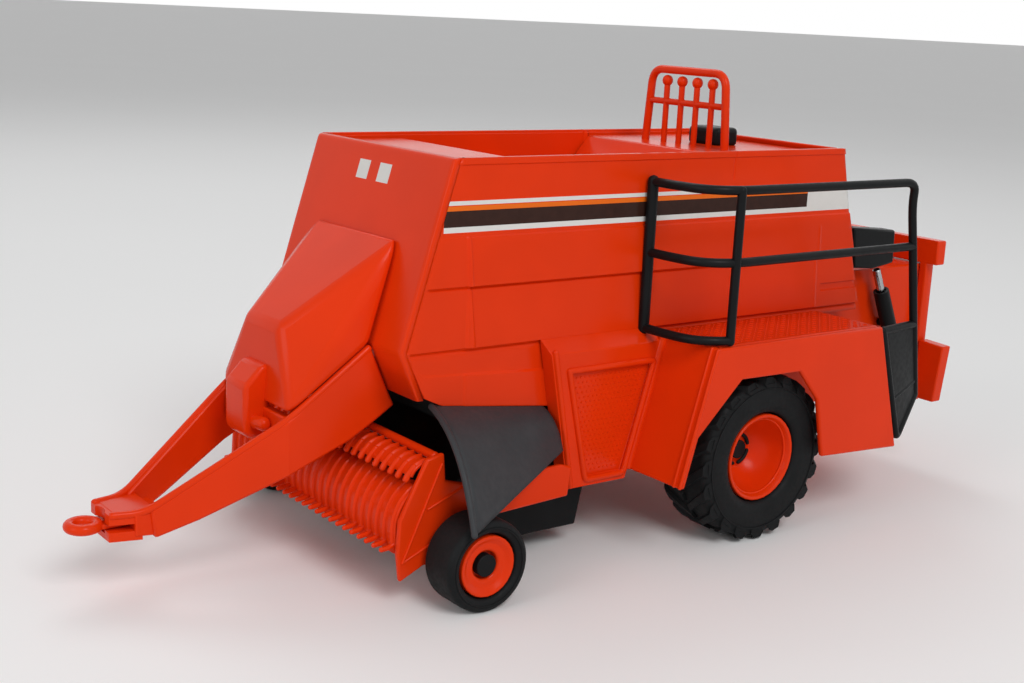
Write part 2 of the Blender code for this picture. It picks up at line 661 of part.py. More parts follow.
# =================================== drawbar and driveline =================================================
def drawbar():
    """Two bent beams: each is its side outline and its plan outline in common."""
    side_outline = [
        (fascia_y(FASCIA_FOOT_Z) - GAP, FASCIA_FOOT_Z - 0.3), (BEAM_BEND[1], 33.2), (BEAM_FRONT[1], 16.9),
        (BEAM_FRONT[1] + 0.8, 11.4), (-93.0, 14.5), (-84.4, 18.6), (-75.6, 22.9), (-65.1, 27.6),
        (CHIN_Y - GAP + 1.6, 33.8), (CHIN_Y - GAP, CHIN_Z),
    ]
    for word, side in SIDES:
        plan = [(side * BEAM_REAR_X, -50.0), (side * BEAM_REAR_X, fascia_y(FASCIA_FOOT_Z)),
                (side * BEAM_BEND[0], BEAM_BEND[1]), (side * BEAM_FRONT[0], BEAM_FRONT[1] - 1.0),
                (side * (BEAM_FRONT[0] - BEAM_SHEET), BEAM_FRONT[1] - 1.0),
                (side * (BEAM_BEND[0] - BEAM_SHEET), BEAM_BEND[1]),
                (side * (BEAM_REAR_X - BEAM_SHEET), fascia_y(FASCIA_FOOT_Z)),
                (side * (BEAM_REAR_X - BEAM_SHEET), -50.0)]
        beam = prism("beam", side_outline, "x", *spread(side, 1.0, 22.0))
        footprint = prism("footprint", plan, "z", 5.0, 60.0)
        part(combine(beam, [footprint], "INTERSECT"), "drawbar_beam_" + word, RED)


def hitch():
    """Forked block at the drawbar's nose, with a tail between the beams, and the ring's tongue in its slot."""
    rear = BEAM_FRONT[1] - 1.0 - GAP
    half = BEAM_FRONT[0] - 0.3
    front = RING_Y + RING_MAJOR + 0.6
    nose = 4.4
    plan = [(-half, rear), (-nose, front), (nose, front), (half, rear)]
    body = prism("fork", plan, "z", 11.4, 16.6)
    slot_top = RING_Z + TONGUE / 2 + GAP
    slot_foot = RING_Z - TONGUE / 2 - GAP
    slot = block("slot", (-half - 1, front - 1.0, slot_foot), (half + 1, rear - 1.2, slot_top))
    ring_room = rod("ring_room", (0, RING_Y, RING_Z - RING_MINOR - GAP), (0, RING_Y, RING_Z + 5.0),
                    RING_MAJOR + RING_MINOR + GAP, 32)
    tail_half = BEAM_FRONT[0] - BEAM_SHEET - GAP
    tail = block("tail", (-tail_half, rear - 0.5, 12.4), (tail_half, rear + 5.0, 16.0))
    part(joined(cut(body, slot, ring_room), tail), "hitch_clevis", RED)
    bpy.ops.mesh.primitive_torus_add(
        major_segments=32, minor_segments=14, major_radius=RING_MAJOR * MM, minor_radius=RING_MINOR * MM,
        location=(0, RING_Y * MM, RING_Z * MM))
    ring = place(bpy.context.object, "ring")
    tongue = block("tongue", (-2.6, RING_Y + RING_MAJOR, RING_Z - TONGUE / 2),
                   (2.6, rear - 1.2 - GAP, RING_Z + TONGUE / 2))
    part(joined(ring, tongue), "towing_ring", RED)


def driveline_cowl():
    """Faceted cowl over the driveline: a hull of its four corners on each side."""
    corners = [
        (15.9, fascia_y(66.6) - GAP, 66.6),      # on the fascia, upper
        (6.6, -76.1, 49.4),                      # nose, upper
        (BEAM_BEND[0], BEAM_BEND[1], 33.2 + 2 * GAP),
        (BEAM_REAR_X, fascia_y(FASCIA_FOOT_Z) - GAP * 1.5, FASCIA_FOOT_Z + GAP),
    ]
    both = [(side * x, y, z) for x, y, z in corners for _, side in SIDES]
    part(hull("cowl", both), "driveline_cowl", RED)


def gearbox():
    """Gearbox block under the cowl's nose with a short side tube."""
    back = BEAM_BEND[1] - GAP
    outline = [(-81.7, 27.0), (back, 27.0), (back, 40.2), (-81.7, 37.4)]
    housing = prism("gearbox", outline, "x", -4.3, 4.3)
    pipe = rod("pipe", (5.2, -80.6, 30.0), (5.2, back + 0.2, 30.0), 1.6, 14)
    hole = rod("pipe_bore", (5.6, -82.0, 30.0), (5.6, -78.9, 30.0), 1.0, 12)
    part(cut(joined(housing, pipe), hole), "gearbox_housing", RED)
    bridge = block("bridge", (-BEAM_BEND[0] + BEAM_SHEET + GAP, back + GAP, 27.0),
                   (BEAM_BEND[0] - BEAM_SHEET - GAP, back + GAP + 2.0, 33.2))
    part(bridge, "drawbar_crossplate", RED)


# ============================================ pickup ========================================================
def pickup_sides():
    """Side frames: banana-shaped end plate, axle lobe and the arm back to the pivot."""
    pivot_y, pivot_z = PICKUP_PIVOT
    lobe = 3.0
    outline = [
        (-59.4, 28.3), (-65.1, 17.2), (-65.4, 10.5), (-64.7, 5.2), (-59.5, 7.6),
        (GAUGE_Y - lobe * 0.8, GAUGE_RADIUS - lobe * 0.8), (GAUGE_Y, GAUGE_RADIUS - lobe),
        (GAUGE_Y + lobe * 0.8, GAUGE_RADIUS - lobe * 0.8), (GAUGE_Y + lobe, GAUGE_RADIUS),
        (-46.5, 14.6), (pivot_y + 1.6, pivot_z - 3.4), (pivot_y + 2.4, pivot_z + 2.6),
        (pivot_y - 0.4, pivot_z + 3.4), (-49.0, 21.8), (-55.2, 23.6),
        (-55.7, 29.0),
    ]
    for word, side in SIDES:
        low, high = spread(side, PICKUP_SIDE_X, PICKUP_SIDE_X + PICKUP_SHEET)
        plate = prism("side_frame", outline, "x", low, high)
        hole = rod("pivot_hole", (side * (PICKUP_SIDE_X - 1.0), pivot_y, pivot_z),
                   (side * (PICKUP_SIDE_X + PIVOT_SOCKET), pivot_y, pivot_z), PIVOT_RADIUS + RUNNING, 16)
        part(cut(plate, hole), "pickup_side_" + word, RED, PICKUP)


def pickup_drum():
    """Curved stripper bands with the tine tips between them."""
    band = [(-60.8, 23.5), (-63.4, 21.8), (-65.0, 19.0), (-65.8, 15.8), (-65.6, 11.8), (-64.4, 9.4),
            (-60.0, 8.6), (-57.6, 11.0), (-57.6, 21.0)]
    core = [(-60.4, 22.4), (-62.6, 20.9), (-64.0, 18.6), (-64.7, 15.7), (-64.5, 12.0), (-63.5, 10.2),
            (-60.0, 9.4), (-58.2, 11.4), (-58.2, 20.6)]
    tine = [(-63.0, 12.2), (-67.6, 12.3), (-68.0, 11.6), (-67.6, 11.1), (-63.0, 11.0)]
    half = PICKUP_SIDE_X - GAP
    middle = (TINE_COUNT - 1) / 2
    tines = [(i - middle) * TINE_PITCH for i in range(TINE_COUNT)]
    drum = prism("drum", core, "x", -half, half)
    drum = joined(drum, loose_copies("ribs", band, tines, RIB),
                  loose_copies("tines", tine, tines, TINE))
    part(drum, "pickup_drum", RED, PICKUP)


def windguard():
    """Ribbed guard over the drum and the cross tube behind it."""
    sheet = [(-61.6, 24.4), (-61.8, 26.0), (-60.4, 27.3), (-59.0, 27.7), (-57.8, 27.7), (-57.8, 26.3),
             (-59.0, 26.2), (-60.4, 25.4)]
    half = PICKUP_SIDE_X - GAP
    part(prism("windguard", sheet, "x", -half, half), "windguard", RED, PICKUP)
    y, z = -56.6, 28.0
    part(rod("cross_tube", (-half, y, z), (half, y, z), 0.9, 14), "pickup_cross_tube", RED, PICKUP)


def feeder():
    """Black feeder housing under the body, and the shaft through it that carries the pickup."""
    pivot_y, pivot_z = PICKUP_PIVOT
    top = SIDE_FOOT_Z
    outline = [(-52.0, 13.0), (-30.0, 4.4), (-14.3, 4.4), (-12.6, 12.8), (-12.6, top), (-30.0, top),
               (-34.0, 24.0), (-51.0, 17.0)]
    housing = prism("feeder", outline, "x", -FEEDER_HALF, FEEDER_HALF)
    hole = rod("shaft_hole", (-40, pivot_y, pivot_z), (40, pivot_y, pivot_z), PIVOT_RADIUS + GAP, 16)
    part(cut(housing, hole), "feeder_housing", BLACK)
    end = PICKUP_SIDE_X + PIVOT_SOCKET - GAP
    part(rod("shaft", (-end, pivot_y, pivot_z), (end, pivot_y, pivot_z), PIVOT_RADIUS, 16),
         "pickup_pivot_shaft", BLACK)


def rubber_skirts():
    """Grey rubber flaps that flare from the body's lower front edge out over the gauge wheels."""
    edge = BODY_HALF + 0.7
    flap = [(edge, -53.4, 34.3), (edge, -26.5, 31.3), (edge + 0.9, -25.4, 29.8), (edge + 5.3, -25.6, 24.5),
            (edge + 20.1, -56.8, 16.9), (edge + 19.4, -57.0, 17.3)]
    for word, side in SIDES:
        shape = bmesh.new()
        shape.faces.new([shape.verts.new((side * x * MM, y * MM, z * MM)) for x, y, z in flap])
        skirt = from_bmesh("skirt", shape)
        thick = skirt.modifiers.new("thickness", "SOLIDIFY")
        thick.thickness = 0.8 * MM
        thick.offset = 0.0
        part(skirt, "rubber_skirt_" + word, SKIRT)


def main():
    start_scene()
    side_panels()
    front_fascia()
    roof()
    rear_wall()
    bale_chamber()
    density_yoke()
    rear_side_boxes()
    density_cylinders()
    tension_brackets()
    main_wheels()
    main_axle()
    gauge_wheels()
    fenders()
    tread_plates()
    screen_boxes()
    railing()
    telltales()
    drawbar()
    hitch()
    driveline_cowl()
    gearbox()
    pickup_sides()
    pickup_drum()
    windguard()
    feeder()
    rubber_skirts()
    centre_model()


main()
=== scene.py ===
import json
import math

import bmesh
import bpy
import numpy as np
from bpy.props import FloatProperty, FloatVectorProperty, IntProperty, PointerProperty
from mathutils import Matrix, Vector


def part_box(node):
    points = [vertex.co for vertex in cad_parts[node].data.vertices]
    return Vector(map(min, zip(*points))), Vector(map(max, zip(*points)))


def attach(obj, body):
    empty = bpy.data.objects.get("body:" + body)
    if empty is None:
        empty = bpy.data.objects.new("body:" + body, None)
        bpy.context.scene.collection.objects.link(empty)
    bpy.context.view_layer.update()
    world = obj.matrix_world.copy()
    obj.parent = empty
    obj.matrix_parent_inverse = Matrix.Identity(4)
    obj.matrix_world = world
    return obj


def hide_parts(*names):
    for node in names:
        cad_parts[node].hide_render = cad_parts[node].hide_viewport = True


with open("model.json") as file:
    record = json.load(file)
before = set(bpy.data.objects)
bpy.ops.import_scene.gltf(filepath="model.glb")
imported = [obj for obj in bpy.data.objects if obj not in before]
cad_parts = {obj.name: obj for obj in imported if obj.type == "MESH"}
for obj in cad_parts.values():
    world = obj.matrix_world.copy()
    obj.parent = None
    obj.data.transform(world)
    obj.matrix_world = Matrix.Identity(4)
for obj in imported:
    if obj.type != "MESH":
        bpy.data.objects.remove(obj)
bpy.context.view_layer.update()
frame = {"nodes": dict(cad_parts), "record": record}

bl_info = {
    "name": "Square Baler Model",
    "version": (1, 0, 0),
    "blender": (4, 5, 0),
    "location": "View3D > Sidebar > Baler",
    "description": "Dresses a toy model of a large square baler in its paint, rubber and moulded detail",
    "category": "Add Mesh",
}

MM = 0.001
SIDES = (("left", 1), ("right", -1))
LENGTH_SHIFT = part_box("bale_chamber")[1][1] / MM - 100.6   # drawing's zero to the model's origin, in mm


# ---------------------------------------------------------------- settings

class BalerPaint(bpy.types.PropertyGroup):
    """Colours of the model's finishes."""
    enamel: FloatVectorProperty(
        name="Enamel", description="Orange-red of the body", subtype="COLOR", size=3,
        min=0, max=1, default=(0.74, 0.036, 0.002))
    plastic: FloatVectorProperty(
        name="Plastic", description="Black moulded parts", subtype="COLOR", size=3,
        min=0, max=1, default=(0.006, 0.0065, 0.007))
    tyre: FloatVectorProperty(
        name="Tyre", description="Rubber of the tyres", subtype="COLOR", size=3,
        min=0, max=1, default=(0.008, 0.0085, 0.009))
    skirt: FloatVectorProperty(
        name="Skirt", description="Flexible sheets in front of the gauge wheels", subtype="COLOR",
        size=3, min=0, max=1, default=(0.030, 0.032, 0.035))
    plated: FloatVectorProperty(
        name="Plated", description="Bright rods", subtype="COLOR", size=3,
        min=0, max=1, default=(0.45, 0.46, 0.47))
    stripe_pale: FloatVectorProperty(
        name="Pale stripe", description="Edges of the side stripe and the blank plates",
        subtype="COLOR", size=3, min=0, max=1, default=(0.72, 0.71, 0.68))
    stripe_orange: FloatVectorProperty(
        name="Orange stripe", description="Upper band of the side stripe", subtype="COLOR",
        size=3, min=0, max=1, default=(0.82, 0.15, 0.01))
    stripe_dark: FloatVectorProperty(
        name="Dark stripe", description="Wide band of the side stripe", subtype="COLOR",
        size=3, min=0, max=1, default=(0.035, 0.014, 0.010))


class BalerSizes(bpy.types.PropertyGroup):
    """Sizes of the detail added to the model."""
    edge: FloatProperty(
        name="Edge radius", description="Rounding of moulded and cast edges", unit="LENGTH",
        default=0.35 * MM, min=0.05 * MM, max=1.0 * MM, precision=5)
    lugs: IntProperty(
        name="Lugs", description="Tread lugs round each side of a main tyre",
        default=20, min=8, max=30)
    lug_height: FloatProperty(
        name="Lug height", description="Height of a tread lug", unit="LENGTH",
        default=0.85 * MM, min=0.2 * MM, max=2 * MM, precision=5)


# ---------------------------------------------------------------- shaders

class Wire:
    """A socket with arithmetic: +, -, *, / and comparisons each add one Math node."""

    def __init__(self, tree, socket):
        self.tree = tree
        self.socket = socket

    def math(self, operation, other=None):
        node = self.tree.nodes.new("ShaderNodeMath")
        node.operation = operation
        for pin, value in enumerate((self, other)):
            if isinstance(value, Wire):
                self.tree.links.new(value.socket, node.inputs[pin])
            elif value is not None:
                node.inputs[pin].default_value = value
        return Wire(self.tree, node.outputs[0])

    def __add__(self, other):
        return self.math("ADD", other)

    def __sub__(self, other):
        return self.math("SUBTRACT", other)

    def __mul__(self, other):
        return self.math("MULTIPLY", other)

    def __truediv__(self, other):
        return self.math("DIVIDE", other)

    def __gt__(self, other):
        return self.math("GREATER_THAN", other)

    def __lt__(self, other):
        return self.math("LESS_THAN", other)

    def within(self, low, high):
        """1 between low and high, else 0."""
        return (self > low) * (self < high)

    def smooth(self, low, high, start=0.0, end=1.0):
        """Smoothstep from start at low to end at high."""
        node = self.tree.nodes.new("ShaderNodeMapRange")
        node.interpolation_type = "SMOOTHSTEP"
        self.tree.links.new(self.socket, node.inputs["Value"])
        for pin, value in (("From Min", low), ("From Max", high), ("To Min", start), ("To Max", end)):
            node.inputs[pin].default_value = value
        return Wire(self.tree, node.outputs["Result"])


class Finish:
    """A material being made: a Principled shader and the nodes that feed it."""

    def __init__(self, name, colour, roughness, metallic=0.0, coat=0.0, specular=0.5):
        self.material = bpy.data.materials.new(name)
        self.material.use_nodes = True
        self.tree = self.material.node_tree
        self.shader = self.tree.nodes["Principled BSDF"]
        self.shader.inputs["Base Color"].default_value = (*colour, 1)
        self.shader.inputs["Roughness"].default_value = roughness
        self.shader.inputs["Metallic"].default_value = metallic
        self.shader.inputs["Coat Weight"].default_value = coat
        self.shader.inputs["Coat Roughness"].default_value = 0.12
        self.shader.inputs["Specular IOR Level"].default_value = specular

    def node(self, kind, inputs=None, **settings):
        """Adds one node, sets its attributes, and sets or links its inputs."""
        made = self.tree.nodes.new(kind)
        for key, value in settings.items():
            setattr(made, key, value)
        for key, value in (inputs or {}).items():
            if isinstance(value, Wire):
                self.tree.links.new(value.socket, made.inputs[key])
            else:
                made.inputs[key].default_value = value
        return made

    def place(self):
        """Object coordinates in metres."""
        return Wire(self.tree, self.node("ShaderNodeTexCoord").outputs["Object"])

    def axes(self):
        """The x, y and z of the object coordinates, in millimetres."""
        split = self.node("ShaderNodeSeparateXYZ", {"Vector": self.place()})
        return [Wire(self.tree, pin) / MM for pin in split.outputs]

    def noise(self, per_metre, detail=2.0, place=None):
        made = self.node("ShaderNodeTexNoise", {
            "Vector": place or self.place(), "Scale": per_metre, "Detail": detail})
        return Wire(self.tree, made.outputs["Fac"])

    def mix(self, share, first, second):
        """Colour between first and second; each is a colour or a wire."""
        pins = {0: share}
        for pin, colour in ((6, first), (7, second)):
            pins[pin] = colour if isinstance(colour, Wire) else (*colour, 1)
        made = self.node("ShaderNodeMix", pins, data_type="RGBA")
        return Wire(self.tree, made.outputs[2])

    def feed(self, pin, wire):
        self.tree.links.new(wire.socket, self.shader.inputs[pin])

    def bump(self, height, depth_mm, strength=1.0):
        made = self.node("ShaderNodeBump", {
            "Height": height, "Distance": depth_mm * MM, "Strength": strength})
        self.tree.links.new(made.outputs["Normal"], self.shader.inputs["Normal"])


def shade(colour, factor):
    return tuple(min(1.0, c * factor) for c in colour)


def enamel(name="baler_red_enamel"):
    """Glossy enamel: a slow drift of tone, a faint ripple, and small changes of gloss."""
    base = tuple(bpy.context.scene.baler_paint.enamel)
    made = Finish(name, base, 0.24, specular=0.12)
    drift = made.noise(60, 2)
    made.feed("Base Color", made.mix(drift.smooth(0.3, 0.7), shade(base, 0.965), shade(base, 1.03)))
    made.feed("Roughness", made.noise(500, 2).smooth(0.3, 0.7, 0.22, 0.26))
    made.bump(made.noise(140, 1), 0.02, 0.12)
    return made


def moulded_plastic():
    base = tuple(bpy.context.scene.baler_paint.plastic)
    made = Finish("black_moulding", base, 0.38, specular=0.1)
    made.feed("Base Color", made.mix(made.noise(200, 3), shade(base, 0.8), shade(base, 1.5)))
    made.feed("Roughness", made.noise(900, 3).smooth(0.3, 0.7, 0.32, 0.46))
    made.bump(made.noise(1800, 2), 0.02, 0.3)
    return made.material


def tyre_rubber():
    base = tuple(bpy.context.scene.baler_paint.tyre)
    made = Finish("tyre_rubber", base, 0.55, specular=0.09)
    made.feed("Base Color", made.mix(made.noise(260, 4), shade(base, 0.8), shade(base, 1.7)))
    made.feed("Roughness", made.noise(1200, 3).smooth(0.3, 0.7, 0.48, 0.64))
    made.bump(made.noise(2600, 2), 0.03, 0.4)
    return made.material


def skirt_rubber():
    base = tuple(bpy.context.scene.baler_paint.skirt)
    made = Finish("skirt_rubber", base, 0.5, specular=0.22)
    made.feed("Base Color", made.mix(made.noise(180, 4), shade(base, 0.85), shade(base, 1.35)))
    made.feed("Roughness", made.noise(800, 3).smooth(0.3, 0.7, 0.42, 0.58))
    made.bump(made.noise(1500, 3), 0.04, 0.4)
    return made.material


def plated():
    base = tuple(bpy.context.scene.baler_paint.plated)
    made = Finish("bright_plating", base, 0.2, metallic=1.0)
    made.feed("Roughness", made.noise(1500, 3).smooth(0.3, 0.7, 0.14, 0.28))
    return made.material


# ---------------------------------------------------------------- stage

CAMERA_PLACE = Vector((246.5, -203.2 + LENGTH_SHIFT, 109.3)) * MM


def aim_camera():
    """Camera in front of the model's left corner, with a slight roll."""
    yaw, pitch, roll = (math.radians(a) for a in (52.64, 12.75, 2.77))
    back = Vector((math.sin(yaw) * math.cos(pitch), -math.cos(yaw) * math.cos(pitch),
                   math.sin(pitch)))
    right = (-back).cross(Vector((0, 0, 1))).normalized()
    up = right.cross(-back)
    turned_right = math.cos(roll) * right + math.sin(roll) * up
    turned_up = -math.sin(roll) * right + math.cos(roll) * up
    data = bpy.data.cameras.new("camera")
    data.lens = 50.98
    data.sensor_width = 36
    data.clip_start = 0.01
    data.clip_end = 40
    camera = bpy.data.objects.new("camera", data)
    bpy.context.scene.collection.objects.link(camera)
    turn = Matrix((turned_right, turned_up, back)).transposed().to_4x4()
    camera.matrix_world = Matrix.Translation(CAMERA_PLACE) @ turn
    bpy.context.scene.camera = camera


def lamp(name, kind, place, target, energy, size):
    data = bpy.data.lights.new(name, kind)
    data.energy = energy
    if kind == "AREA":
        data.shape = "DISK"
        data.size = size
    light = bpy.data.objects.new(name, data)
    light.location = place
    light.rotation_euler = (Vector(target) - Vector(place)).to_track_quat("-Z", "Y").to_euler()
    bpy.context.scene.collection.objects.link(light)


WORLD_LIGHT = 0.40          # strength of the white world as a light; as a background it is 1


class BALER_OT_stage(bpy.types.Operator):
    """Sets up the floor, the studio light and the camera"""
    bl_idname = "baler.stage"
    bl_label = "Stage"

    def execute(self, context):
        scene = context.scene
        scene.view_settings.view_transform = "Standard"
        world = bpy.data.worlds.new("studio")
        world.use_nodes = True
        scene.world = world
        background = world.node_tree.nodes["Background"]
        background.inputs["Color"].default_value = (1, 1, 1, 1)
        path = world.node_tree.nodes.new("ShaderNodeLightPath")
        seen = Wire(world.node_tree, path.outputs["Is Camera Ray"])
        for kind in ("Is Glossy Ray", "Is Transmission Ray"):
            seen = seen.math("MAXIMUM", Wire(world.node_tree, path.outputs[kind]))
        strength = seen * (1 - WORLD_LIGHT) + WORLD_LIGHT
        world.node_tree.links.new(strength.socket, background.inputs["Strength"])
        floor = plane_sheet("floor", 18.0)
        look = Finish("paper_floor", (0.93, 0.93, 0.93), 0.7)
        look.feed("Base Color", look.mix(look.noise(6, 2), (0.92, 0.92, 0.92), (0.94, 0.94, 0.94)))
        floor.data.materials.append(look.material)
        lamp("key", "AREA", (0.75, -0.15, 0.70), (0, 0, 0.04), 4.2, 0.45)
        lamp("front", "AREA", (0.10, -0.90, 0.45), (0, 0, 0.04), 1.5, 0.5)
        lamp("back", "AREA", (-0.6, 0.2, 0.8), (0, 0, 0.04), 1.4, 0.5)
        aim_camera()
        return {"FINISHED"}


# ---------------------------------------------------------------- meshes

def plane_sheet(name, half):
    """A flat square, z 0, with corners at plus and minus half."""
    return from_arrays(name, np.array([(-half, -half, 0), (half, -half, 0),
                                       (half, half, 0), (-half, half, 0)], float),
                       np.array([[0, 1, 2, 3]]))


def from_arrays(name, points, quads, smooth=False):
    """An object made of four-sided faces, from an array of points and one of corner numbers."""
    mesh = bpy.data.meshes.new(name)
    mesh.from_pydata(points.reshape(-1, 3).tolist(), [], quads.reshape(-1, 4).tolist())
    mesh.polygons.foreach_set("use_smooth", np.full(len(mesh.polygons), smooth))
    mesh.update()
    made = bpy.data.objects.new(name, mesh)
    bpy.context.scene.collection.objects.link(made)
    return made


def lattice(rows, columns, wrap_rows=False, wrap_columns=False):
    """Corner numbers of the quads of a grid: (i, j), (i+1, j), (i+1, j+1), (i, j+1), with i and j
    taken round again where the grid wraps."""
    i, j = np.meshgrid(np.arange(rows - (not wrap_rows)), np.arange(columns - (not wrap_columns)),
                       indexing="ij")
    after_i = (i + 1) % rows
    after_j = (j + 1) % columns
    return np.stack([i * columns + j, after_i * columns + j, after_i * columns + after_j,
                     i * columns + after_j], -1).reshape(-1, 4)


def merge(name, pieces):
    """One object from several (points, quads) pairs; corner numbers are raised by the points before."""
    starts = np.cumsum([0] + [len(p.reshape(-1, 3)) for p, _ in pieces[:-1]])
    points = np.concatenate([p.reshape(-1, 3) for p, _ in pieces])
    quads = np.concatenate([q.reshape(-1, 4) + start for (_, q), start in zip(pieces, starts)])
    return from_arrays(name, points, quads)


def recalculate(obj, weld=1e-6):
    """Welds doubles and turns every face outwards."""
    work = bmesh.new()
    work.from_mesh(obj.data)
    bmesh.ops.remove_doubles(work, verts=work.verts, dist=weld)
    bmesh.ops.recalc_face_normals(work, faces=work.faces)
    work.to_mesh(obj.data)
    work.free()


def smooth_by_angle(obj, degrees):
    """Shades smooth, with edges over that angle kept sharp."""
    obj.data.polygons.foreach_set("use_smooth", np.full(len(obj.data.polygons), True))
    obj.data.set_sharp_from_angle(angle=math.radians(degrees))


def wear(obj, material, body, slot, *nodes):
    """Gives a finished piece its material and its body, and hides the nodes it stands for. The slot is not
    used.
    """
    obj.data.materials.clear()
    obj.data.materials.append(material)
    if nodes:
        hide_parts(*nodes)
    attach(obj, body)


def dress(obj, slot, body, *nodes):
    """Wears the shared finish of a slot."""
    wear(obj, finish_for(slot), body, slot, *nodes)


def body_with(node):
    """The body that a node belongs to."""
    return next(b for b, nodes in frame["record"]["behaviour"]["bodies"].items() if node in nodes)


def slot_of(node):
    """The material slot of a node."""
    return next(s["material_slot"] for s in frame["record"]["subparts"] if s["node"] == node)


def softened(node, radius, segments=2):
    """A copy of a node whose flat faces are merged and whose edges are rounded."""
    source = frame["nodes"][node]
    made = bpy.data.objects.new(node + "_shell", source.data.copy())
    bpy.context.scene.collection.objects.link(made)
    work = bmesh.new()
    work.from_mesh(made.data)
    bmesh.ops.remove_doubles(work, verts=work.verts, dist=2e-6)
    bmesh.ops.dissolve_limit(work, angle_limit=math.radians(1.0), verts=work.verts, edges=work.edges)
    work.to_mesh(made.data)
    work.free()
    bevel = made.modifiers.new("rounding", "BEVEL")
    bevel.width = radius
    bevel.segments = segments
    bevel.limit_method = "ANGLE"
    bevel.angle_limit = math.radians(28)
    bevel.use_clamp_overlap = True
    bevel.harden_normals = False
    smooth_by_angle(made, 35)
    return made


FINISHES = {}


def finish_for(slot):
    """The shared material of a slot, made once."""
    makers = {"red_paint": lambda: enamel().material, "black_plastic": moulded_plastic,
              "tyre_rubber": tyre_rubber, "grey_rubber": skirt_rubber, "plated_steel": plated}
    if slot not in FINISHES:
        FINISHES[slot] = makers[slot]()
    return FINISHES[slot]


EDGE_SHARE = {
    "driveline_cowl": 4.2, "drawbar_beam_left": 1.6, "drawbar_beam_right": 1.6,
    "hitch_clevis": 1.4, "fender_left": 1.2, "fender_right": 1.2,
    "roof_deck": 1.2, "tension_bracket_left": 1.5, "tension_bracket_right": 1.5,
}
DRESSED = ("main_tyre", "main_rim", "gauge_tyre", "gauge_rim", "side_panel", "front_fascia", "railing",
           "rubber_skirt", "pickup_drum", "windguard", "telltale_frame", "gearbox_housing")


class BALER_OT_castings(bpy.types.Operator):
    """Rounds the edges of the plain cast and moulded pieces and paints them"""
    bl_idname = "baler.castings"
    bl_label = "Castings"

    def execute(self, context):
        radius = context.scene.baler_sizes.edge
        for node in frame["nodes"]:
            if node.startswith(DRESSED):
                continue
            share = EDGE_SHARE.get(node, 1.0)
            shell = softened(node, radius * share, 5 if share > 2 else 2)
            dress(shell, slot_of(node), body_with(node), node)
        return {"FINISHED"}


# ---------------------------------------------------------------- sheets and tubes

def drawn(points):
    """Points in the drawing's millimetres, as metres in the model's frame."""
    return (np.asarray(points, float) + (0, LENGTH_SHIFT, 0)) * MM


def rounded_path(corners, radius, steps=6):
    """A path whose inner corners are quadratic curves: each leaves its sides at the radius from the
    corner, or at 0.45 of the side where that is shorter, p = (1-t)^2 a + 2t(1-t) b + t^2 c."""
    corners = np.asarray(corners, float)
    legs = np.diff(corners, axis=0)
    lengths = np.linalg.norm(legs, axis=1)
    ways = legs / lengths[:, None]
    inner = corners[1:-1]
    back = np.minimum(radius, 0.45 * lengths[:-1])[:, None]
    ahead = np.minimum(radius, 0.45 * lengths[1:])[:, None]
    a = (inner - ways[:-1] * back)[:, None]
    c = (inner + ways[1:] * ahead)[:, None]
    t = np.linspace(0, 1, steps)[None, :, None]
    curves = (1 - t) ** 2 * a + 2 * t * (1 - t) * inner[:, None] + t ** 2 * c
    return np.concatenate([corners[:1], curves.reshape(-1, corners.shape[1]), corners[-1:]])


def tube(path, radius, sides=14, ends=5):
    """A round bar along a path, with domed ends: ring i is centre + r(i)(cos a n + sin a b), where r
    falls to nothing over the last rings as the square root of 1 - t^2."""
    path = np.asarray(path, float)
    tangents = np.gradient(path, axis=0)
    tangents /= np.linalg.norm(tangents, axis=1)[:, None]
    t = np.linspace(1, 0, ends, endpoint=False)
    dome = np.sqrt(1 - t ** 2)
    centres = np.concatenate([path[0] - tangents[0] * t[:, None] * radius, path,
                              path[-1] + tangents[-1] * t[::-1, None] * radius])
    sizes = np.concatenate([dome, np.ones(len(path)), dome[::-1]]) * radius
    along = np.concatenate([np.repeat(tangents[:1], ends, 0), tangents,
                            np.repeat(tangents[-1:], ends, 0)])
    reference = np.array([0.31, 0.47, 0.83])
    normal = np.cross(along, reference)
    normal /= np.linalg.norm(normal, axis=1)[:, None]
    binormal = np.cross(along, normal)
    angle = np.linspace(0, 2 * math.pi, sides, endpoint=False)[None, :, None]
    points = centres[:, None] + sizes[:, None, None] * (
        np.cos(angle) * normal[:, None] + np.sin(angle) * binormal[:, None])
    return points, lattice(len(centres), sides, wrap_columns=True)


def round_bars(name, pieces, slot, body, *nodes):
    """One object from tubes, welded, shaded smooth and finished."""
    made = merge(name, pieces)
    recalculate(made)
    smooth_by_angle(made, 50)
    dress(made, slot, body, *nodes)


def slab(name, outline, axis, low, high, radius):
    """A prism with rounded edges: an outline in the two axes other than the given one, at low and
    high along it."""
    outline = np.asarray(outline, float)
    ends = [np.insert(outline, axis, level, 1) for level in (low, high)]
    count = len(outline)
    mesh = bpy.data.meshes.new(name)
    k = range(count)
    mesh.from_pydata(drawn(np.concatenate(ends)).tolist(), [], [
        *[(i, (i + 1) % count, (i + 1) % count + count, i + count) for i in k],
        tuple(k), tuple(count + i for i in reversed(k))])
    made = bpy.data.objects.new(name, mesh)
    bpy.context.scene.collection.objects.link(made)
    recalculate(made)
    bevel = made.modifiers.new("rounding", "BEVEL")
    bevel.width = radius * MM
    bevel.segments = 4
    smooth_by_angle(made, 35)
    return made


def thicken(obj, thickness, offset=-1.0):
    wall = obj.modifiers.new("thickness", "SOLIDIFY")
    wall.thickness = thickness
    wall.offset = offset
    wall.use_even_offset = True


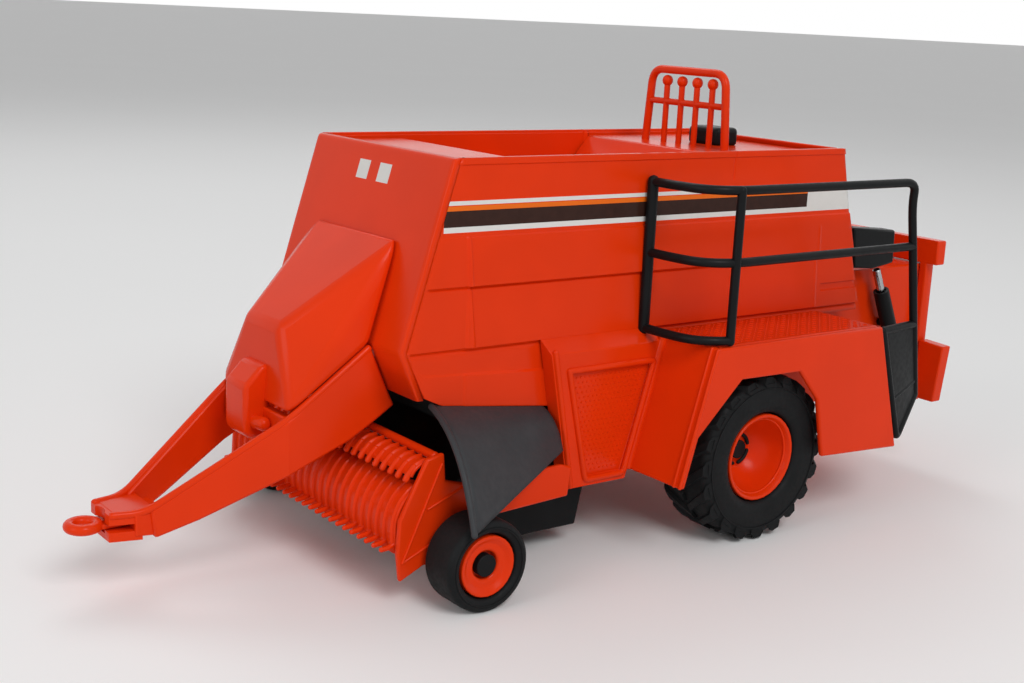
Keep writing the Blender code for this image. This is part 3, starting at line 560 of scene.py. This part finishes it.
def open_sheet(name, *grids):
    """A sheet from one or more grids of points, joined where their points meet."""
    made = merge(name, [(points, lattice(*points.shape[:2])) for points in grids])
    work = bmesh.new()
    work.from_mesh(made.data)
    bmesh.ops.remove_doubles(work, verts=work.verts, dist=2e-6)
    bmesh.ops.delete(work, geom=[v for v in work.verts if not v.link_faces], context="VERTS")
    work.to_mesh(made.data)
    work.free()
    return made


def face_along(obj, way):
    """Turns the sheet's faces over where their summed normal points against a direction."""
    normals = np.empty(len(obj.data.polygons) * 3)
    areas = np.empty(len(obj.data.polygons))
    obj.data.polygons.foreach_get("normal", normals)
    obj.data.polygons.foreach_get("area", areas)
    if (normals.reshape(-1, 3) * areas[:, None]).sum(0) @ np.asarray(way) < 0:
        obj.data.flip_normals()


# ---------------------------------------------------------------- body

FASCIA_LEAN = 0.296
ROOF_Z = 82.7
ROOF_FRONT_Y = -49.9
FOOT_Z = 46.2
CHIN = (-56.63, 36.9)
REAR_LEAN = 0.252


SIDE_X = 25.8               # outer face of the side walls
APRON_TOP = 44.4            # below this the side wall ends at the apron's rear edge
APRON_REAR_Y = -18.0
DARK_END_Y = 47.2           # rear end of the stripe's dark and orange bands


def fascia_y(z):
    """Front face at a height."""
    return ROOF_FRONT_Y - FASCIA_LEAN * (ROOF_Z - z)


def rear_y(z):
    """Rear face at a height."""
    return 58.2 + REAR_LEAN * (ROOF_Z - z)


def ramp(value, start, end):
    """0 at start, 1 at end, straight between and held outside."""
    return np.clip((value - start) / (end - start), 0, 1)


BOARD = 0.75                # step at the foot of a pressed board, mm


def side_relief(y, z):
    """Height of the side wall's pressed panels, in mm. Each board lies flush at its upper edge, leans
    out to its full step at its foot and falls back there; the front strip has smaller steps, and a
    groove and a bead part it from the rest."""
    upper = BOARD * ramp(z, 67.9, 67.6) * (0.4 + 0.6 * ramp(z, 67.6, 58.4)) * ramp(z, 58.25, 58.4)
    middle = BOARD * ramp(z, 57.6, 46.4) * ramp(z, 46.15, 46.35)
    lower = 0.4 * ramp(z, 42.0 - 0.055 * (y + 58.7), 41.6 - 0.055 * (y + 58.7))
    boards = (upper + middle + lower) * (1 - 0.55 * ramp(y, -45.6, -46.2))
    bead_y = -46.1 + (67.8 - z) * 0.077
    bead = 0.36 * np.exp(-((y - bead_y) / 0.35) ** 2) * ramp(z, 45.8, 46.6) * ramp(z, 68.2, 67.6)
    lip = 0.3 * ramp(z, 81.3, 81.5)
    lines = -0.32 * (np.exp(-((z - 45.75) / 0.26) ** 2) + np.exp(-((z - 57.95) / 0.22) ** 2))
    seam = -0.25 * np.exp(-((y - 23.2) / 0.22) ** 2) * ramp(z, 76.2, 76.8)
    mullion = 0.16 * np.exp(-((y - 52.0) / 0.3) ** 2) * ramp(z, 46.4, 47.0) * ramp(z, 65.5, 65.0)
    groove = -0.5 * ramp(y, 53.8, 54.1) * ramp(z, 49.9, 50.1) * ramp(z, 51.7, 51.5)
    edge = ramp(y, fascia_y(z) + 1.9, fascia_y(z) + 2.6)
    return (boards + bead + lines) * edge + lip + seam + mullion + groove


def striped_enamel():
    """The body's enamel with the long side stripe and its blank end plate."""
    paint = bpy.context.scene.baler_paint
    made = enamel("baler_red_striped")
    red = Wire(made.tree, made.shader.inputs["Base Color"].links[0].from_socket)
    _, y, z = made.axes()
    y = y - LENGTH_SHIFT
    inside = (y < 62.8) * (y > -51.9)
    grain = made.noise(500, 3)
    pale = made.mix(grain, shade(paint.stripe_pale, 0.93), paint.stripe_pale)
    dark = made.mix(grain, shade(paint.stripe_dark, 0.8), shade(paint.stripe_dark, 1.3))
    orange = made.mix(grain, shade(paint.stripe_orange, 0.92), paint.stripe_orange)
    look = made.mix(z.within(73.85, 74.65) * inside, red, pale)
    look = made.mix(z.within(72.8, 73.7) * inside * (y < DARK_END_Y), look, orange)
    look = made.mix(z.within(69.75, 72.8) * inside * (y < DARK_END_Y), look, dark)
    look = made.mix(z.within(68.7, 69.75) * inside, look, pale)
    look = made.mix(z.within(68.7, 74.65) * inside * (y > DARK_END_Y), look, pale)
    made.feed("Base Color", look)
    return made.material


def labelled_enamel():
    """The body's enamel with two small blank plates near the top of the fascia."""
    paint = bpy.context.scene.baler_paint
    made = enamel("baler_red_labelled")
    red = Wire(made.tree, made.shader.inputs["Base Color"].links[0].from_socket)
    x, _, z = made.axes()
    pale = made.mix(made.noise(500, 3), shade(paint.stripe_pale, 0.93), paint.stripe_pale)
    share = (x.within(-6.3, -2.2) + x.within(1.4, 5.7)) * z.within(75.6, 79.3)
    made.feed("Base Color", made.mix(share, red, pale))
    return made.material


class BALER_OT_body(bpy.types.Operator):
    """Makes the pressed side walls with their stripe, and the leaning fascia"""
    bl_idname = "baler.body"
    bl_label = "Body"

    def execute(self, context):
        steps = (APRON_TOP, 45.5, 45.75, 45.95, 46.15, 46.35, 46.6, 49.9, 50.1, 51.5, 51.7, 57.6, 57.8,
                 57.95, 58.1, 58.25, 58.4, 65.0, 65.5, 67.6, 67.9, 76.2, 76.8, 81.3, 81.5, 82.5, 82.7)
        z = np.unique(np.concatenate([np.linspace(APRON_TOP, ROOF_Z, 50), steps]))
        y = np.unique(np.concatenate([
            np.linspace(-61, 68, 150), np.linspace(-47.4, -43.4, 30), np.linspace(22.6, 23.8, 9),
            np.linspace(51.2, 52.8, 9), (APRON_REAR_Y, 53.8, 54.1)]))
        front = np.maximum(fascia_y(z) + 1.5, fascia_y(FOOT_Z) + 1.5 + (FOOT_Z - z) * 0.47)
        grid_y, grid_z = np.meshgrid(y, z)
        grid_y = np.clip(grid_y, front[:, None], rear_y(grid_z))
        apron_y = np.unique(np.clip(y, front[0], APRON_REAR_Y))
        hem = np.interp(apron_y, (front[0], -55.0, -51.0, -25.3, APRON_REAR_Y),
                        (APRON_TOP, 37.3, 35.4, 32.3, 32.0))
        apron_y, share = np.meshgrid(apron_y, np.linspace(0, 1, 48))
        apron_z = hem + share * (APRON_TOP - hem)
        for word, side in SIDES:
            made = open_sheet("pressed_side_" + word, *[
                drawn(np.stack([side * (SIDE_X + side_relief(u, v)), u, v], -1))
                for u, v in ((grid_y, grid_z), (apron_y, apron_z))])
            face_along(made, (side, 0, 0))
            thicken(made, 1.3 * MM)
            smooth_by_angle(made, 22)
            wear(made, striped_enamel(), "baler", "red_paint", "side_panel_" + word)
        self.fascia()
        return {"FINISHED"}

    def fascia(self):
        """The plan path (across, back) is carried down the front's profile (forward, down)."""
        half = SIDE_X
        plan = rounded_path([(half, 1.5), (half, 0.0), (-half, 0.0), (-half, 1.5)], 1.1, 8)
        plan = np.concatenate([plan[:9], np.stack([np.linspace(24, -24, 40), np.zeros(40)], -1), plan[9:]])
        profile = rounded_path([(fascia_y(ROOF_Z) + 0.9, ROOF_Z), (fascia_y(ROOF_Z), ROOF_Z - 0.25),
                                (fascia_y(FOOT_Z), FOOT_Z), CHIN], 0.9, 6)
        across, down = plan[None, :, 0], profile[:, 1][:, None]
        ahead = profile[:, 0][:, None] + plan[None, :, 1]
        points = np.stack([across + 0 * down, ahead, down + 0 * across], -1)
        made = open_sheet("front_casting", drawn(points))
        face_along(made, (0, -1, 0))
        thicken(made, 1.1 * MM)
        smooth_by_angle(made, 30)
        wear(made, labelled_enamel(), "baler", "red_paint", "front_fascia")


# ---------------------------------------------------------------- wheels

def round_wheel(profile, angles, centre):
    """Turns a profile of (offset along X, radius) round an axle along X: y = r sin a, z = r cos a."""
    offset, radius = (profile[:, k][:, None] for k in (0, 1))
    return np.stack([offset + centre[0] + 0 * angles, radius * np.sin(angles) + centre[1],
                     radius * np.cos(angles) + centre[2]], -1)


def tyre_ring(half, bead, radius, shoulder):
    """Closed cross-section of a tyre, from the middle of its bore round and back: square tread with
    rounded shoulders and upright walls."""
    corners = [(0, bead), (half * 0.86, bead), (half, bead + 1.6 * MM), (half, radius - shoulder),
               (half * 0.86, radius), (-half * 0.86, radius), (-half, radius - shoulder),
               (-half, bead + 1.6 * MM), (-half * 0.86, bead), (0, bead)]
    return rounded_path(corners, 1.1 * MM, 5)[:-1]


def wall_rings(half, radii, thick, angles, centre):
    """Fine raised rings round both walls of a tyre."""
    turn = np.linspace(0, 2 * math.pi, 8, endpoint=False)
    rings = []
    for side in (-1, 1):
        for radius in radii:
            profile = np.stack([side * half + thick * np.cos(turn), radius + thick * np.sin(turn)], -1)
            rings.append((round_wheel(profile, angles, centre), lattice(8, len(angles), True, True)))
    return rings


def lug_blocks(radius, height, width, count, side, centre):
    """Tread lugs on one half of a tyre. Along a lug, u runs 0 to 1 from the middle of the tread to
    the side wall: the offset is side*width/2*min(1, 1.22u), the angle leads by 0.36 u^0.9, and the top
    falls to the carcass past the shoulder. Each cross-section is a trapezium of four points."""
    u = np.array([0.02, 0.2, 0.45, 0.7, 0.82, 0.92, 1.0])
    out = np.minimum(1.0, 1.22 * u) * width / 2
    drop = np.clip(u - 0.74, 0, 1) * 4.6 * height
    top = radius - drop - 0.25 * height * u ** 3
    base = radius - height - 0.5 * MM - drop * 1.6
    lead = 0.36 * u ** 0.9
    half = 0.062 + 0.012 * u
    first = np.arange(count) * 2 * math.pi / count + (0 if side > 0 else math.pi / count)
    corner_angle = np.array([-1.25, -0.75, 0.75, 1.25])
    is_top = np.array([0, 1, 1, 0])
    angle = first[:, None, None] + lead[None, :, None] + half[None, :, None] * corner_angle
    level = np.where(is_top[None, None, :] > 0, top[None, :, None], base[None, :, None])
    level = np.broadcast_to(level, angle.shape)
    x = np.broadcast_to((side * out)[None, :, None] * np.where(is_top > 0, 0.985, 1.02), angle.shape)
    points = np.stack([x + centre[0], level * np.sin(angle) + centre[1],
                       level * np.cos(angle) + centre[2]], -1)
    one = lattice(len(u), 4, wrap_columns=True)
    caps = np.array([[0, 1, 2, 3], [4 * len(u) - 4, 4 * len(u) - 3, 4 * len(u) - 2, 4 * len(u) - 1]])
    one = np.concatenate([one, caps])
    quads = one[None] + (np.arange(count) * 4 * len(u))[:, None, None]
    return points, quads


def wheel_frame(node):
    """Centre of a wheel's node, its radius and its width, from the node's box."""
    low, high = (np.array(c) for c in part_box(node))
    return (low + high) / 2, (high[2] - low[2]) / 2, high[0] - low[0]


class BALER_OT_wheels(bpy.types.Operator):
    """Makes the lugged main tyres, the plain gauge tyres and all four rims"""
    bl_idname = "baler.wheels"
    bl_label = "Wheels"

    def execute(self, context):
        sizes = context.scene.baler_sizes
        around = np.linspace(0, 2 * math.pi, 144, endpoint=False)
        for word, side in SIDES:
            node = "main_tyre_" + word
            centre, radius, width = wheel_frame(node)
            carcass = radius - sizes.lug_height
            half = width / 2
            ring = tyre_ring(half, 9.9 * MM, carcass, 2.2 * MM)
            made = merge("lugged_tyre_" + word,
                         [(round_wheel(ring, around, centre), lattice(len(ring), len(around), True, True))]
                         + [lug_blocks(radius, sizes.lug_height, width * .97, sizes.lugs, s, centre)
                            for s in (-1, 1)]
                         + wall_rings(half - 0.05 * MM, (15.6 * MM,), 0.16 * MM, around, centre))
            recalculate(made)
            smooth_by_angle(made, 30)
            dress(made, "tyre_rubber", "main_wheel_" + word, node)
            node = "gauge_tyre_" + word
            centre, radius, width = wheel_frame(node)
            half = width / 2
            ring = tyre_ring(half, 6.3 * MM, radius, 0.9 * MM)
            made = merge("plain_tyre_" + word, [(round_wheel(ring, around, centre),
                                                 lattice(len(ring), len(around), True, True))]
                         + wall_rings(half - 0.05 * MM, (7.6 * MM,), 0.14 * MM, around, centre))
            recalculate(made)
            smooth_by_angle(made, 40)
            dress(made, "tyre_rubber", "gauge_wheel_" + word, node)
            for kind in ("main", "gauge"):
                node = kind + "_rim_" + word
                dress(softened(node, 0.25 * MM), "red_paint", body_with(node), node)
            self.main_hub(word, side, around)
        return {"FINISHED"}


    def main_hub(self, word, side, around):
        """A step ring inside the rim's lip, and four dark bars of tyre rubber round its hub, painted shade
        for the shade in the web's slots.
        """
        centre, _, _ = wheel_frame("main_tyre_" + word)
        turn = np.linspace(0, 2 * math.pi, 10, endpoint=False)
        profile = np.stack([side * 4.6 + 0.3 * np.cos(turn), 8.35 + 0.3 * np.sin(turn)], -1) * MM
        ring = round_wheel(profile, around, centre), lattice(10, len(around), True, True)
        round_bars("rim_step_" + word, [ring], "red_paint", "main_wheel_" + word)
        # Painted shade: four raised dark rubber bars stand on the web where its slots show only shade.
        slot_shade_bars = []
        for quarter in range(4):
            a = np.linspace(0.25, 1.32, 9) + quarter * math.pi / 2
            path = np.stack([np.full(9, side * -1.62), 3.35 * np.sin(a), 3.35 * np.cos(a)], -1) * MM
            slot_shade_bars.append(tube(path + centre, 0.42 * MM, 10, 3))
        round_bars("hub_slot_shade_" + word, slot_shade_bars, "tyre_rubber", "main_wheel_" + word)


# ---------------------------------------------------------------- pickup

PICKUP_HALF = 32.9
RIB_PITCH = 2.68
RIB_COUNT = 25


def rib_places():
    return (np.arange(RIB_COUNT) - (RIB_COUNT - 1) / 2) * RIB_PITCH


def comb_sheet(path, half, height, width):
    """A sheet carried across the pickup along a (y, z) path, with a narrow rib at every tine: the path
    is pushed out along its normal by height * exp(-(d/width)^4), d being the distance to the rib."""
    ribs = rib_places()
    local = np.array([-0.75, -0.45, -0.3, -0.15, 0.0, 0.15, 0.3, 0.45, 0.75])
    x = np.unique(np.clip(np.concatenate([[-half, half], (ribs[:, None] + local).ravel()]), -half, half))
    distance = np.abs(x[:, None] - ribs[None, :]).min(1)
    lift = height * np.exp(-(distance / width) ** 4)
    path = np.asarray(path, float)
    tangent = np.gradient(path, axis=0)
    tangent /= np.linalg.norm(tangent, axis=1)[:, None]
    normal = np.stack([-tangent[:, 1], tangent[:, 0]], -1)
    y = path[:, 0][:, None] + normal[:, 0][:, None] * lift[None]
    z = path[:, 1][:, None] + normal[:, 1][:, None] * lift[None]
    return np.stack([np.broadcast_to(x, y.shape), y, z], -1)


class BALER_OT_pickup(bpy.types.Operator):
    """Makes the ribbed stripper sheet with its tines, and the fingered guard above it"""
    bl_idname = "baler.pickup"
    bl_label = "Pickup"

    def execute(self, context):
        arc = rounded_path([(-58.4, 22.0), (-60.6, 22.9), (-63.2, 20.9), (-64.9, 18.0), (-65.4, 14.8),
                            (-64.9, 11.2), (-62.6, 9.2), (-59.6, 8.8)], 2.4, 7)
        sheet = open_sheet("stripper_ribs", drawn(comb_sheet(arc[::-1], PICKUP_HALF, 0.6, 0.24)))
        face_along(sheet, (0, -1, 0))
        thicken(sheet, 0.6 * MM)
        smooth_by_angle(sheet, 50)
        dress(sheet, "red_paint", "pickup", "pickup_drum")
        tines = []
        for x in rib_places():
            path = rounded_path([(x, -63.4, 13.2), (x, -65.6, 11.6), (x, -67.6, 11.5)], 1.2, 4)
            tines.append(tube(drawn(path), 0.5 * MM, 10, 3))
        round_bars("tines", tines, "red_paint", "pickup", "pickup_drum")
        guard = rounded_path([(-57.6, 27.4), (-59.6, 27.4), (-61.4, 26.4), (-62.2, 25.0)], 1.2, 6)
        sheet = open_sheet("guard_ribs", drawn(comb_sheet(guard[::-1], PICKUP_HALF, 0.5, 0.3)))
        face_along(sheet, (0, -1, 1))
        thicken(sheet, 0.6 * MM)
        smooth_by_angle(sheet, 50)
        dress(sheet, "red_paint", "pickup", "windguard")
        fingers = []
        for x in rib_places():
            path = np.array([(x, -61.0, 26.5), (x, -62.2, 25.2), (x, -62.7, 24.4)])
            fingers.append(tube(drawn(path), 0.62 * MM, 10, 4))
        round_bars("guard_fingers", fingers, "red_paint", "pickup", "windguard")
        for word, side in SIDES:
            x = side * 34.45
            beads = []
            for corners in (((x, -59.0, 18.6), (x, -50.4, 22.0)), ((x, -64.3, 9.0), (x, -56.2, 27.0)),
                            ((x, -64.3, 9.0), (x, -58.6, 11.4))):
                beads.append(tube(drawn(corners), 0.28 * MM, 8, 3))
            round_bars("side_frame_beads_" + word, beads, "red_paint", "pickup")
        return {"FINISHED"}


class BALER_OT_skirts(bpy.types.Operator):
    """Makes the flexible flaps over the gauge wheels: (1-v)^2 top + 2v(1-v) crest + v^2 foot"""
    bl_idname = "baler.skirts"
    bl_label = "Skirts"

    def execute(self, context):
        for word, side in SIDES:
            u = np.linspace(0, 1, 36)[None, :, None]
            v = np.linspace(0, 1, 32)[:, None, None]
            top, crest, foot = np.array([[[25.4, -53.0, 35.4], [25.4, -26.3, 32.2]],
                                         [[40.5, -56.2, 33.4], [30.4, -25.8, 30.6]],
                                         [[46.4, -56.8, 16.9], [31.9, -25.5, 24.4]]])
            share = u ** 0.8
            top, crest, foot = (edge[0] * (1 - share) + edge[1] * share for edge in (top, crest, foot))
            sheet = (1 - v) ** 2 * top + 2 * v * (1 - v) * crest + v ** 2 * foot
            cupped = 0.16 * np.sin(9 * u + 2.0 * v) * np.sin(math.pi * v) * np.array([0.7, 0, 0.7])
            points = (sheet + cupped) * np.array([side, 1, 1])
            made = open_sheet("skirt_" + word, drawn(points))
            face_along(made, (side, 0, 1))
            thicken(made, 0.75 * MM, 0.0)
            smooth_by_angle(made, 60)
            dress(made, "grey_rubber", "baler", "rubber_skirt_" + word)
            hem = merge("skirt_hem_" + word, [tube(drawn(points[:, 0]), 0.62 * MM, 12, 4)])
            recalculate(hem)
            smooth_by_angle(hem, 60)
            dress(hem, "grey_rubber", "baler", "rubber_skirt_" + word)
        return {"FINISHED"}


# ---------------------------------------------------------------- rails, screens, platform

class BALER_OT_rails(bpy.types.Operator):
    """Makes the guard rail and the ladder with its closed back"""
    bl_idname = "baler.rails"
    bl_label = "Rails"

    def execute(self, context):
        low, middle, high = 46.5, 62.5, 77.1
        rail_x = 44.6
        bars = []
        for z in (high, middle, low):
            corner = [(27.0, -1.3, z), (33.6, -1.3, z), (40.0, -0.4, z), (43.4, 3.0, z), (rail_x, 7.4, z)]
            if z == high:
                corner += [(rail_x, 60.8, z), (rail_x - 0.8, 61.4, 72.0), (rail_x - 1.1, 63.6, middle),
                           (rail_x - 3.3, 72.8, 26.6)]
            elif z == middle:
                corner += [(rail_x - 1.1, 63.6, z)]
            else:
                corner = corner[:-1] + [(rail_x, 6.6, z)]
            bars.append(tube(drawn(rounded_path(corner, 3.4, 7)), 0.95 * MM))
        for x, y, foot, top, radius in ((27.1, -1.3, low - 0.3, high + 0.2, 1.15),
                                        (rail_x, 6.6, low - 0.2, high, 0.95)):
            bars.append(tube(drawn([(x, y, foot), (x, y, 60.0), (x, y, top)]), radius * MM))
        stringer = [(rail_x - 0.2, 55.0, 44.0), (rail_x - 0.2, 63.6, 18.0), (rail_x - 3.3, 72.8, 26.6)]
        bars.append(tube(drawn(rounded_path(stringer, 1.6, 6)), 0.95 * MM))
        bars.append(tube(drawn([(rail_x - 0.2, 55.0, 44.0), (rail_x - 2.2, 68.3, 44.0)]), 0.95 * MM))
        bars.append(tube(drawn([(rail_x - 0.3, 61.0, 27.6), (rail_x - 3.0, 72.0, 30.2)]), 0.6 * MM))
        round_bars("guard_rail", bars, "black_plastic", "baler", "railing")
        corners = np.array([[(rail_x - 0.2, 55.0, 44.0), (rail_x - 2.2, 68.3, 44.0)],
                            [(rail_x - 0.2, 63.6, 18.0), (rail_x - 3.3, 72.8, 26.6)]])
        u = np.linspace(0, 1, 8)[None, :, None]
        v = np.linspace(0, 1, 12)[:, None, None]
        points = (corners[0, 0] * (1 - u) + corners[0, 1] * u) * (1 - v) \
            + (corners[1, 0] * (1 - u) + corners[1, 1] * u) * v
        back = open_sheet("ladder_back", drawn(points))
        face_along(back, (1, 0, 0))
        thicken(back, 0.9 * MM, 0.0)
        dress(back, "black_plastic", "baler", "railing")
        return {"FINISHED"}


def pad_faces(count):
    """Faces of that many pads, each of eight points: a ring round the foot and one round the top."""
    k = np.arange(4)
    walls = np.stack([k, (k + 1) % 4, (k + 1) % 4 + 4, k + 4], -1)
    one = np.concatenate([walls, [[4, 5, 6, 7]], [[3, 2, 1, 0]]])
    return one[None] + (np.arange(count) * 8)[:, None, None]


def studs(u, v, size, rise, side_x):
    """Small raised pads at places (u, v) on a face x = side_x: each is a square foot of the given half
    size and a smaller top, lifted by rise."""
    foot = np.array([(-1, -1), (1, -1), (1, 1), (-1, 1)], float)
    ring = np.concatenate([foot * size, foot * size * 0.45])
    lift = np.repeat([-0.1, rise], 4)
    places = np.stack([u, v], -1)[:, None] + ring[None]
    x = np.broadcast_to(side_x + lift[None] * np.sign(side_x), places.shape[:2])
    return np.concatenate([x[..., None], places], -1), pad_faces(len(u))


class BALER_OT_screens(bpy.types.Operator):
    """Makes the studded screens with their raised frames"""
    bl_idname = "baler.screens"
    bl_label = "Screens"

    def execute(self, context):
        rows = np.arange(18.2, 39.0, 1.05)
        for word, side in SIDES:
            u, v = np.meshgrid(np.arange(-22, 0, 1.15), rows)
            u = u + 0.575 * (np.arange(len(rows))[:, None] % 2)
            left = np.interp(v, (16.8, 39.6), (-17.0, -22.6)) + 0.9
            right = np.interp(v, (16.8, 39.6), (-7.2, -0.4)) - 0.9
            inside = (u > left) & (u < right)
            points, quads = studs(u[inside], v[inside], 0.26, 0.16, side * 28.9)
            made = merge("screen_studs_" + word, [(drawn(points), quads)])
            recalculate(made, 1e-7)
            dress(made, "red_paint", "baler")
            x = side * 29.75
            inner = [(-22.9, 40.0), (-17.2, 16.4), (-6.9, 16.4), (-0.1, 40.0), (-22.9, 40.0), (-17.2, 16.4)]
            outer = [(-26.7, 44.2), (-21.0, 15.6)]
            beads = [tube(drawn(rounded_path([(x, *p) for p in inner[:5]], 0.8, 4)), 0.66 * MM, 12, 3),
                     tube(drawn([(x, *p) for p in outer]), 0.62 * MM, 12, 3),
                     tube(drawn([(side * 29.4, 2.3, 44.6), (side * 29.4, -5.2, 17.6)]),
                          1.0 * MM, 12, 3)]
            round_bars("screen_frame_" + word, beads, "red_paint", "baler")
        return {"FINISHED"}


class BALER_OT_platform(bpy.types.Operator):
    """Raises the tread pattern on the platforms and the beads on the fenders' front edges"""
    bl_idname = "baler.platform"
    bl_label = "Platform"

    def execute(self, context):
        for word, side in SIDES:
            low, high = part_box("tread_plate_" + word)
            u, v = np.meshgrid(np.arange(low[0] + 1.2 * MM, high[0] - 0.6 * MM, 1.5 * MM),
                               np.arange(low[1] + 1.2 * MM, high[1] - 0.8 * MM, 1.7 * MM))
            slant = np.where((np.arange(u.shape[0])[:, None] + np.arange(u.shape[1])) % 2, 1.0, -1.0)
            foot = np.array([(-0.55, -0.16), (0.55, -0.16), (0.55, 0.16), (-0.55, 0.16)]) * MM
            turned = np.stack([foot[None, :, 0] * 0.7 - slant.ravel()[:, None] * foot[None, :, 1] * 0.7,
                               slant.ravel()[:, None] * foot[None, :, 0] * 0.7 + foot[None, :, 1] * 0.7],
                              -1)
            ring = np.concatenate([turned, turned * 0.7], 1)
            place = np.stack([u.ravel(), v.ravel()], -1)[:, None] + ring
            lift = np.broadcast_to(high[2] + np.repeat([-0.1, 0.2], 4) * MM, place.shape[:2])
            points = np.concatenate([place, lift[..., None]], -1)
            made = merge("tread_bars_" + word, [(points, pad_faces(len(place)))])
            recalculate(made, 1e-7)
            dress(made, "red_paint", "baler")
            beads = []
            for x, foot_z in ((45.35, 17.2), (43.6, 17.2)):
                top, bottom = (side * x, 2.75, 45.0), (side * x, 2.8 - 0.281 * (45.3 - foot_z) - 0.05, foot_z)
                beads.append(tube(drawn([top, bottom]), 0.42 * MM, 10, 3))
            round_bars("fender_beads_" + word, beads, "red_paint", "baler")
        return {"FINISHED"}


class BALER_OT_drawbar(bpy.types.Operator):
    """Rolls the upper edges of the drawbar's beams and of its nose, and caps the rear roof"""
    bl_idname = "baler.drawbar"
    bl_label = "Drawbar"

    def execute(self, context):
        for word, side in SIDES:
            edge = [(15.5, fascia_y(FOOT_Z) - 0.6, FOOT_Z - 0.7), (14.0, -77.4, 33.0),
                    (5.5, -102.2, 16.4), (4.2, -108.0, 16.4)]
            edge = rounded_path([(side * x, y, z) for x, y, z in edge], 3.0, 6)
            edge = tube(drawn(edge), 0.75 * MM, 12, 3)
            round_bars("rolled_edge_" + word, [edge], "red_paint", "baler")
            outline = [(-104.2, 12.2), (-100.6, 11.9), (-100.6, 16.6), (-104.2, 16.6)]
            cheek = slab("nose_cheek_" + word, outline, 0, *sorted((side * 4.9, side * 5.9)), 0.3)
            dress(cheek, "red_paint", "baler")
        plan = [(5.6, -99.6), (-5.6, -99.6), (-5.6, -102.6), (-4.3, -107.6), (4.3, -107.6), (5.6, -102.6)]
        dress(slab("nose_plate", plan, 2, 15.9, 16.7, 0.25), "red_paint", "baler")
        cap = slab("roof_cap", [(-5, 38), (5, 38), (5, 45), (-5, 45)], 2, 81.2, 85.6, 1.1)
        dress(cap, "black_plastic", "baler")
        outline = [(-81.6, 28.4), (-80.4, 27.1), (-76.0, 27.1), (-76.0, 41.6), (-78.0, 41.4), (-81.6, 37.6)]
        dress(slab("gear_case", outline, 0, -4.2, 4.2, 0.9), "red_paint", "baler", "gearbox_housing")
        stub = tube(drawn([(3.2, -79.2, 30.4), (6.6, -78.8, 30.6)]), 1.4 * MM)
        round_bars("gear_stub", [stub], "red_paint", "baler", "gearbox_housing")
        self.indicators()
        return {"FINISHED"}

    def indicators(self):
        """The round frame on the rear roof, its cross bar and four ball-headed rods."""
        y, foot, bar_z, ball_z = 32.3, 81.3, 90.9, 95.7
        arch = rounded_path([(13.3, y, foot), (12.0, y, 98.2), (-12.0, y, 98.2), (-13.3, y, foot)], 3.4, 9)
        bars = [tube(drawn(arch), 0.95 * MM),
                tube(drawn([(-12.2, y, bar_z), (12.2, y, bar_z)]), 0.75 * MM, 12, 3)]
        for x in (-6.9, -1.9, 3.1, 8.1):
            bars.append(tube(drawn([(x, y, foot), (x, y, ball_z)]), 0.72 * MM, 12, 3))
            bars.append(tube(drawn([(x, y, ball_z - 0.05), (x, y, ball_z + 0.05)]), 1.25 * MM, 16, 7))
        round_bars("indicator_frame", bars, "red_paint", "baler", "telltale_frame")


# ---------------------------------------------------------------- add-on

class BALER_PT_panel(bpy.types.Panel):
    """Lists the baler's settings and operators"""
    bl_label = "Square Baler"
    bl_idname = "BALER_PT_panel"
    bl_space_type = "VIEW_3D"
    bl_region_type = "UI"
    bl_category = "Baler"

    def draw(self, context):
        for settings in (context.scene.baler_paint, context.scene.baler_sizes):
            for name in settings.__annotations__:
                self.layout.prop(settings, name)
        for operator in OPERATORS:
            self.layout.operator(operator.bl_idname)


OPERATORS = (BALER_OT_stage, BALER_OT_castings, BALER_OT_body, BALER_OT_wheels, BALER_OT_pickup,
             BALER_OT_skirts, BALER_OT_rails, BALER_OT_screens, BALER_OT_platform,
             BALER_OT_drawbar)
CLASSES = (BalerPaint, BalerSizes, *OPERATORS, BALER_PT_panel)


def register():
    for cls in CLASSES:
        bpy.utils.register_class(cls)
    bpy.types.Scene.baler_paint = PointerProperty(type=BalerPaint)
    bpy.types.Scene.baler_sizes = PointerProperty(type=BalerSizes)


def unregister():
    del bpy.types.Scene.baler_sizes
    del bpy.types.Scene.baler_paint
    for cls in reversed(CLASSES):
        bpy.utils.unregister_class(cls)


def main():
    register()
    bpy.ops.baler.stage()
    bpy.ops.baler.castings()
    bpy.ops.baler.body()
    bpy.ops.baler.wheels()
    bpy.ops.baler.pickup()
    bpy.ops.baler.skirts()
    bpy.ops.baler.rails()
    bpy.ops.baler.screens()
    bpy.ops.baler.platform()
    bpy.ops.baler.drawbar()


if __name__ == "__main__":
    main()
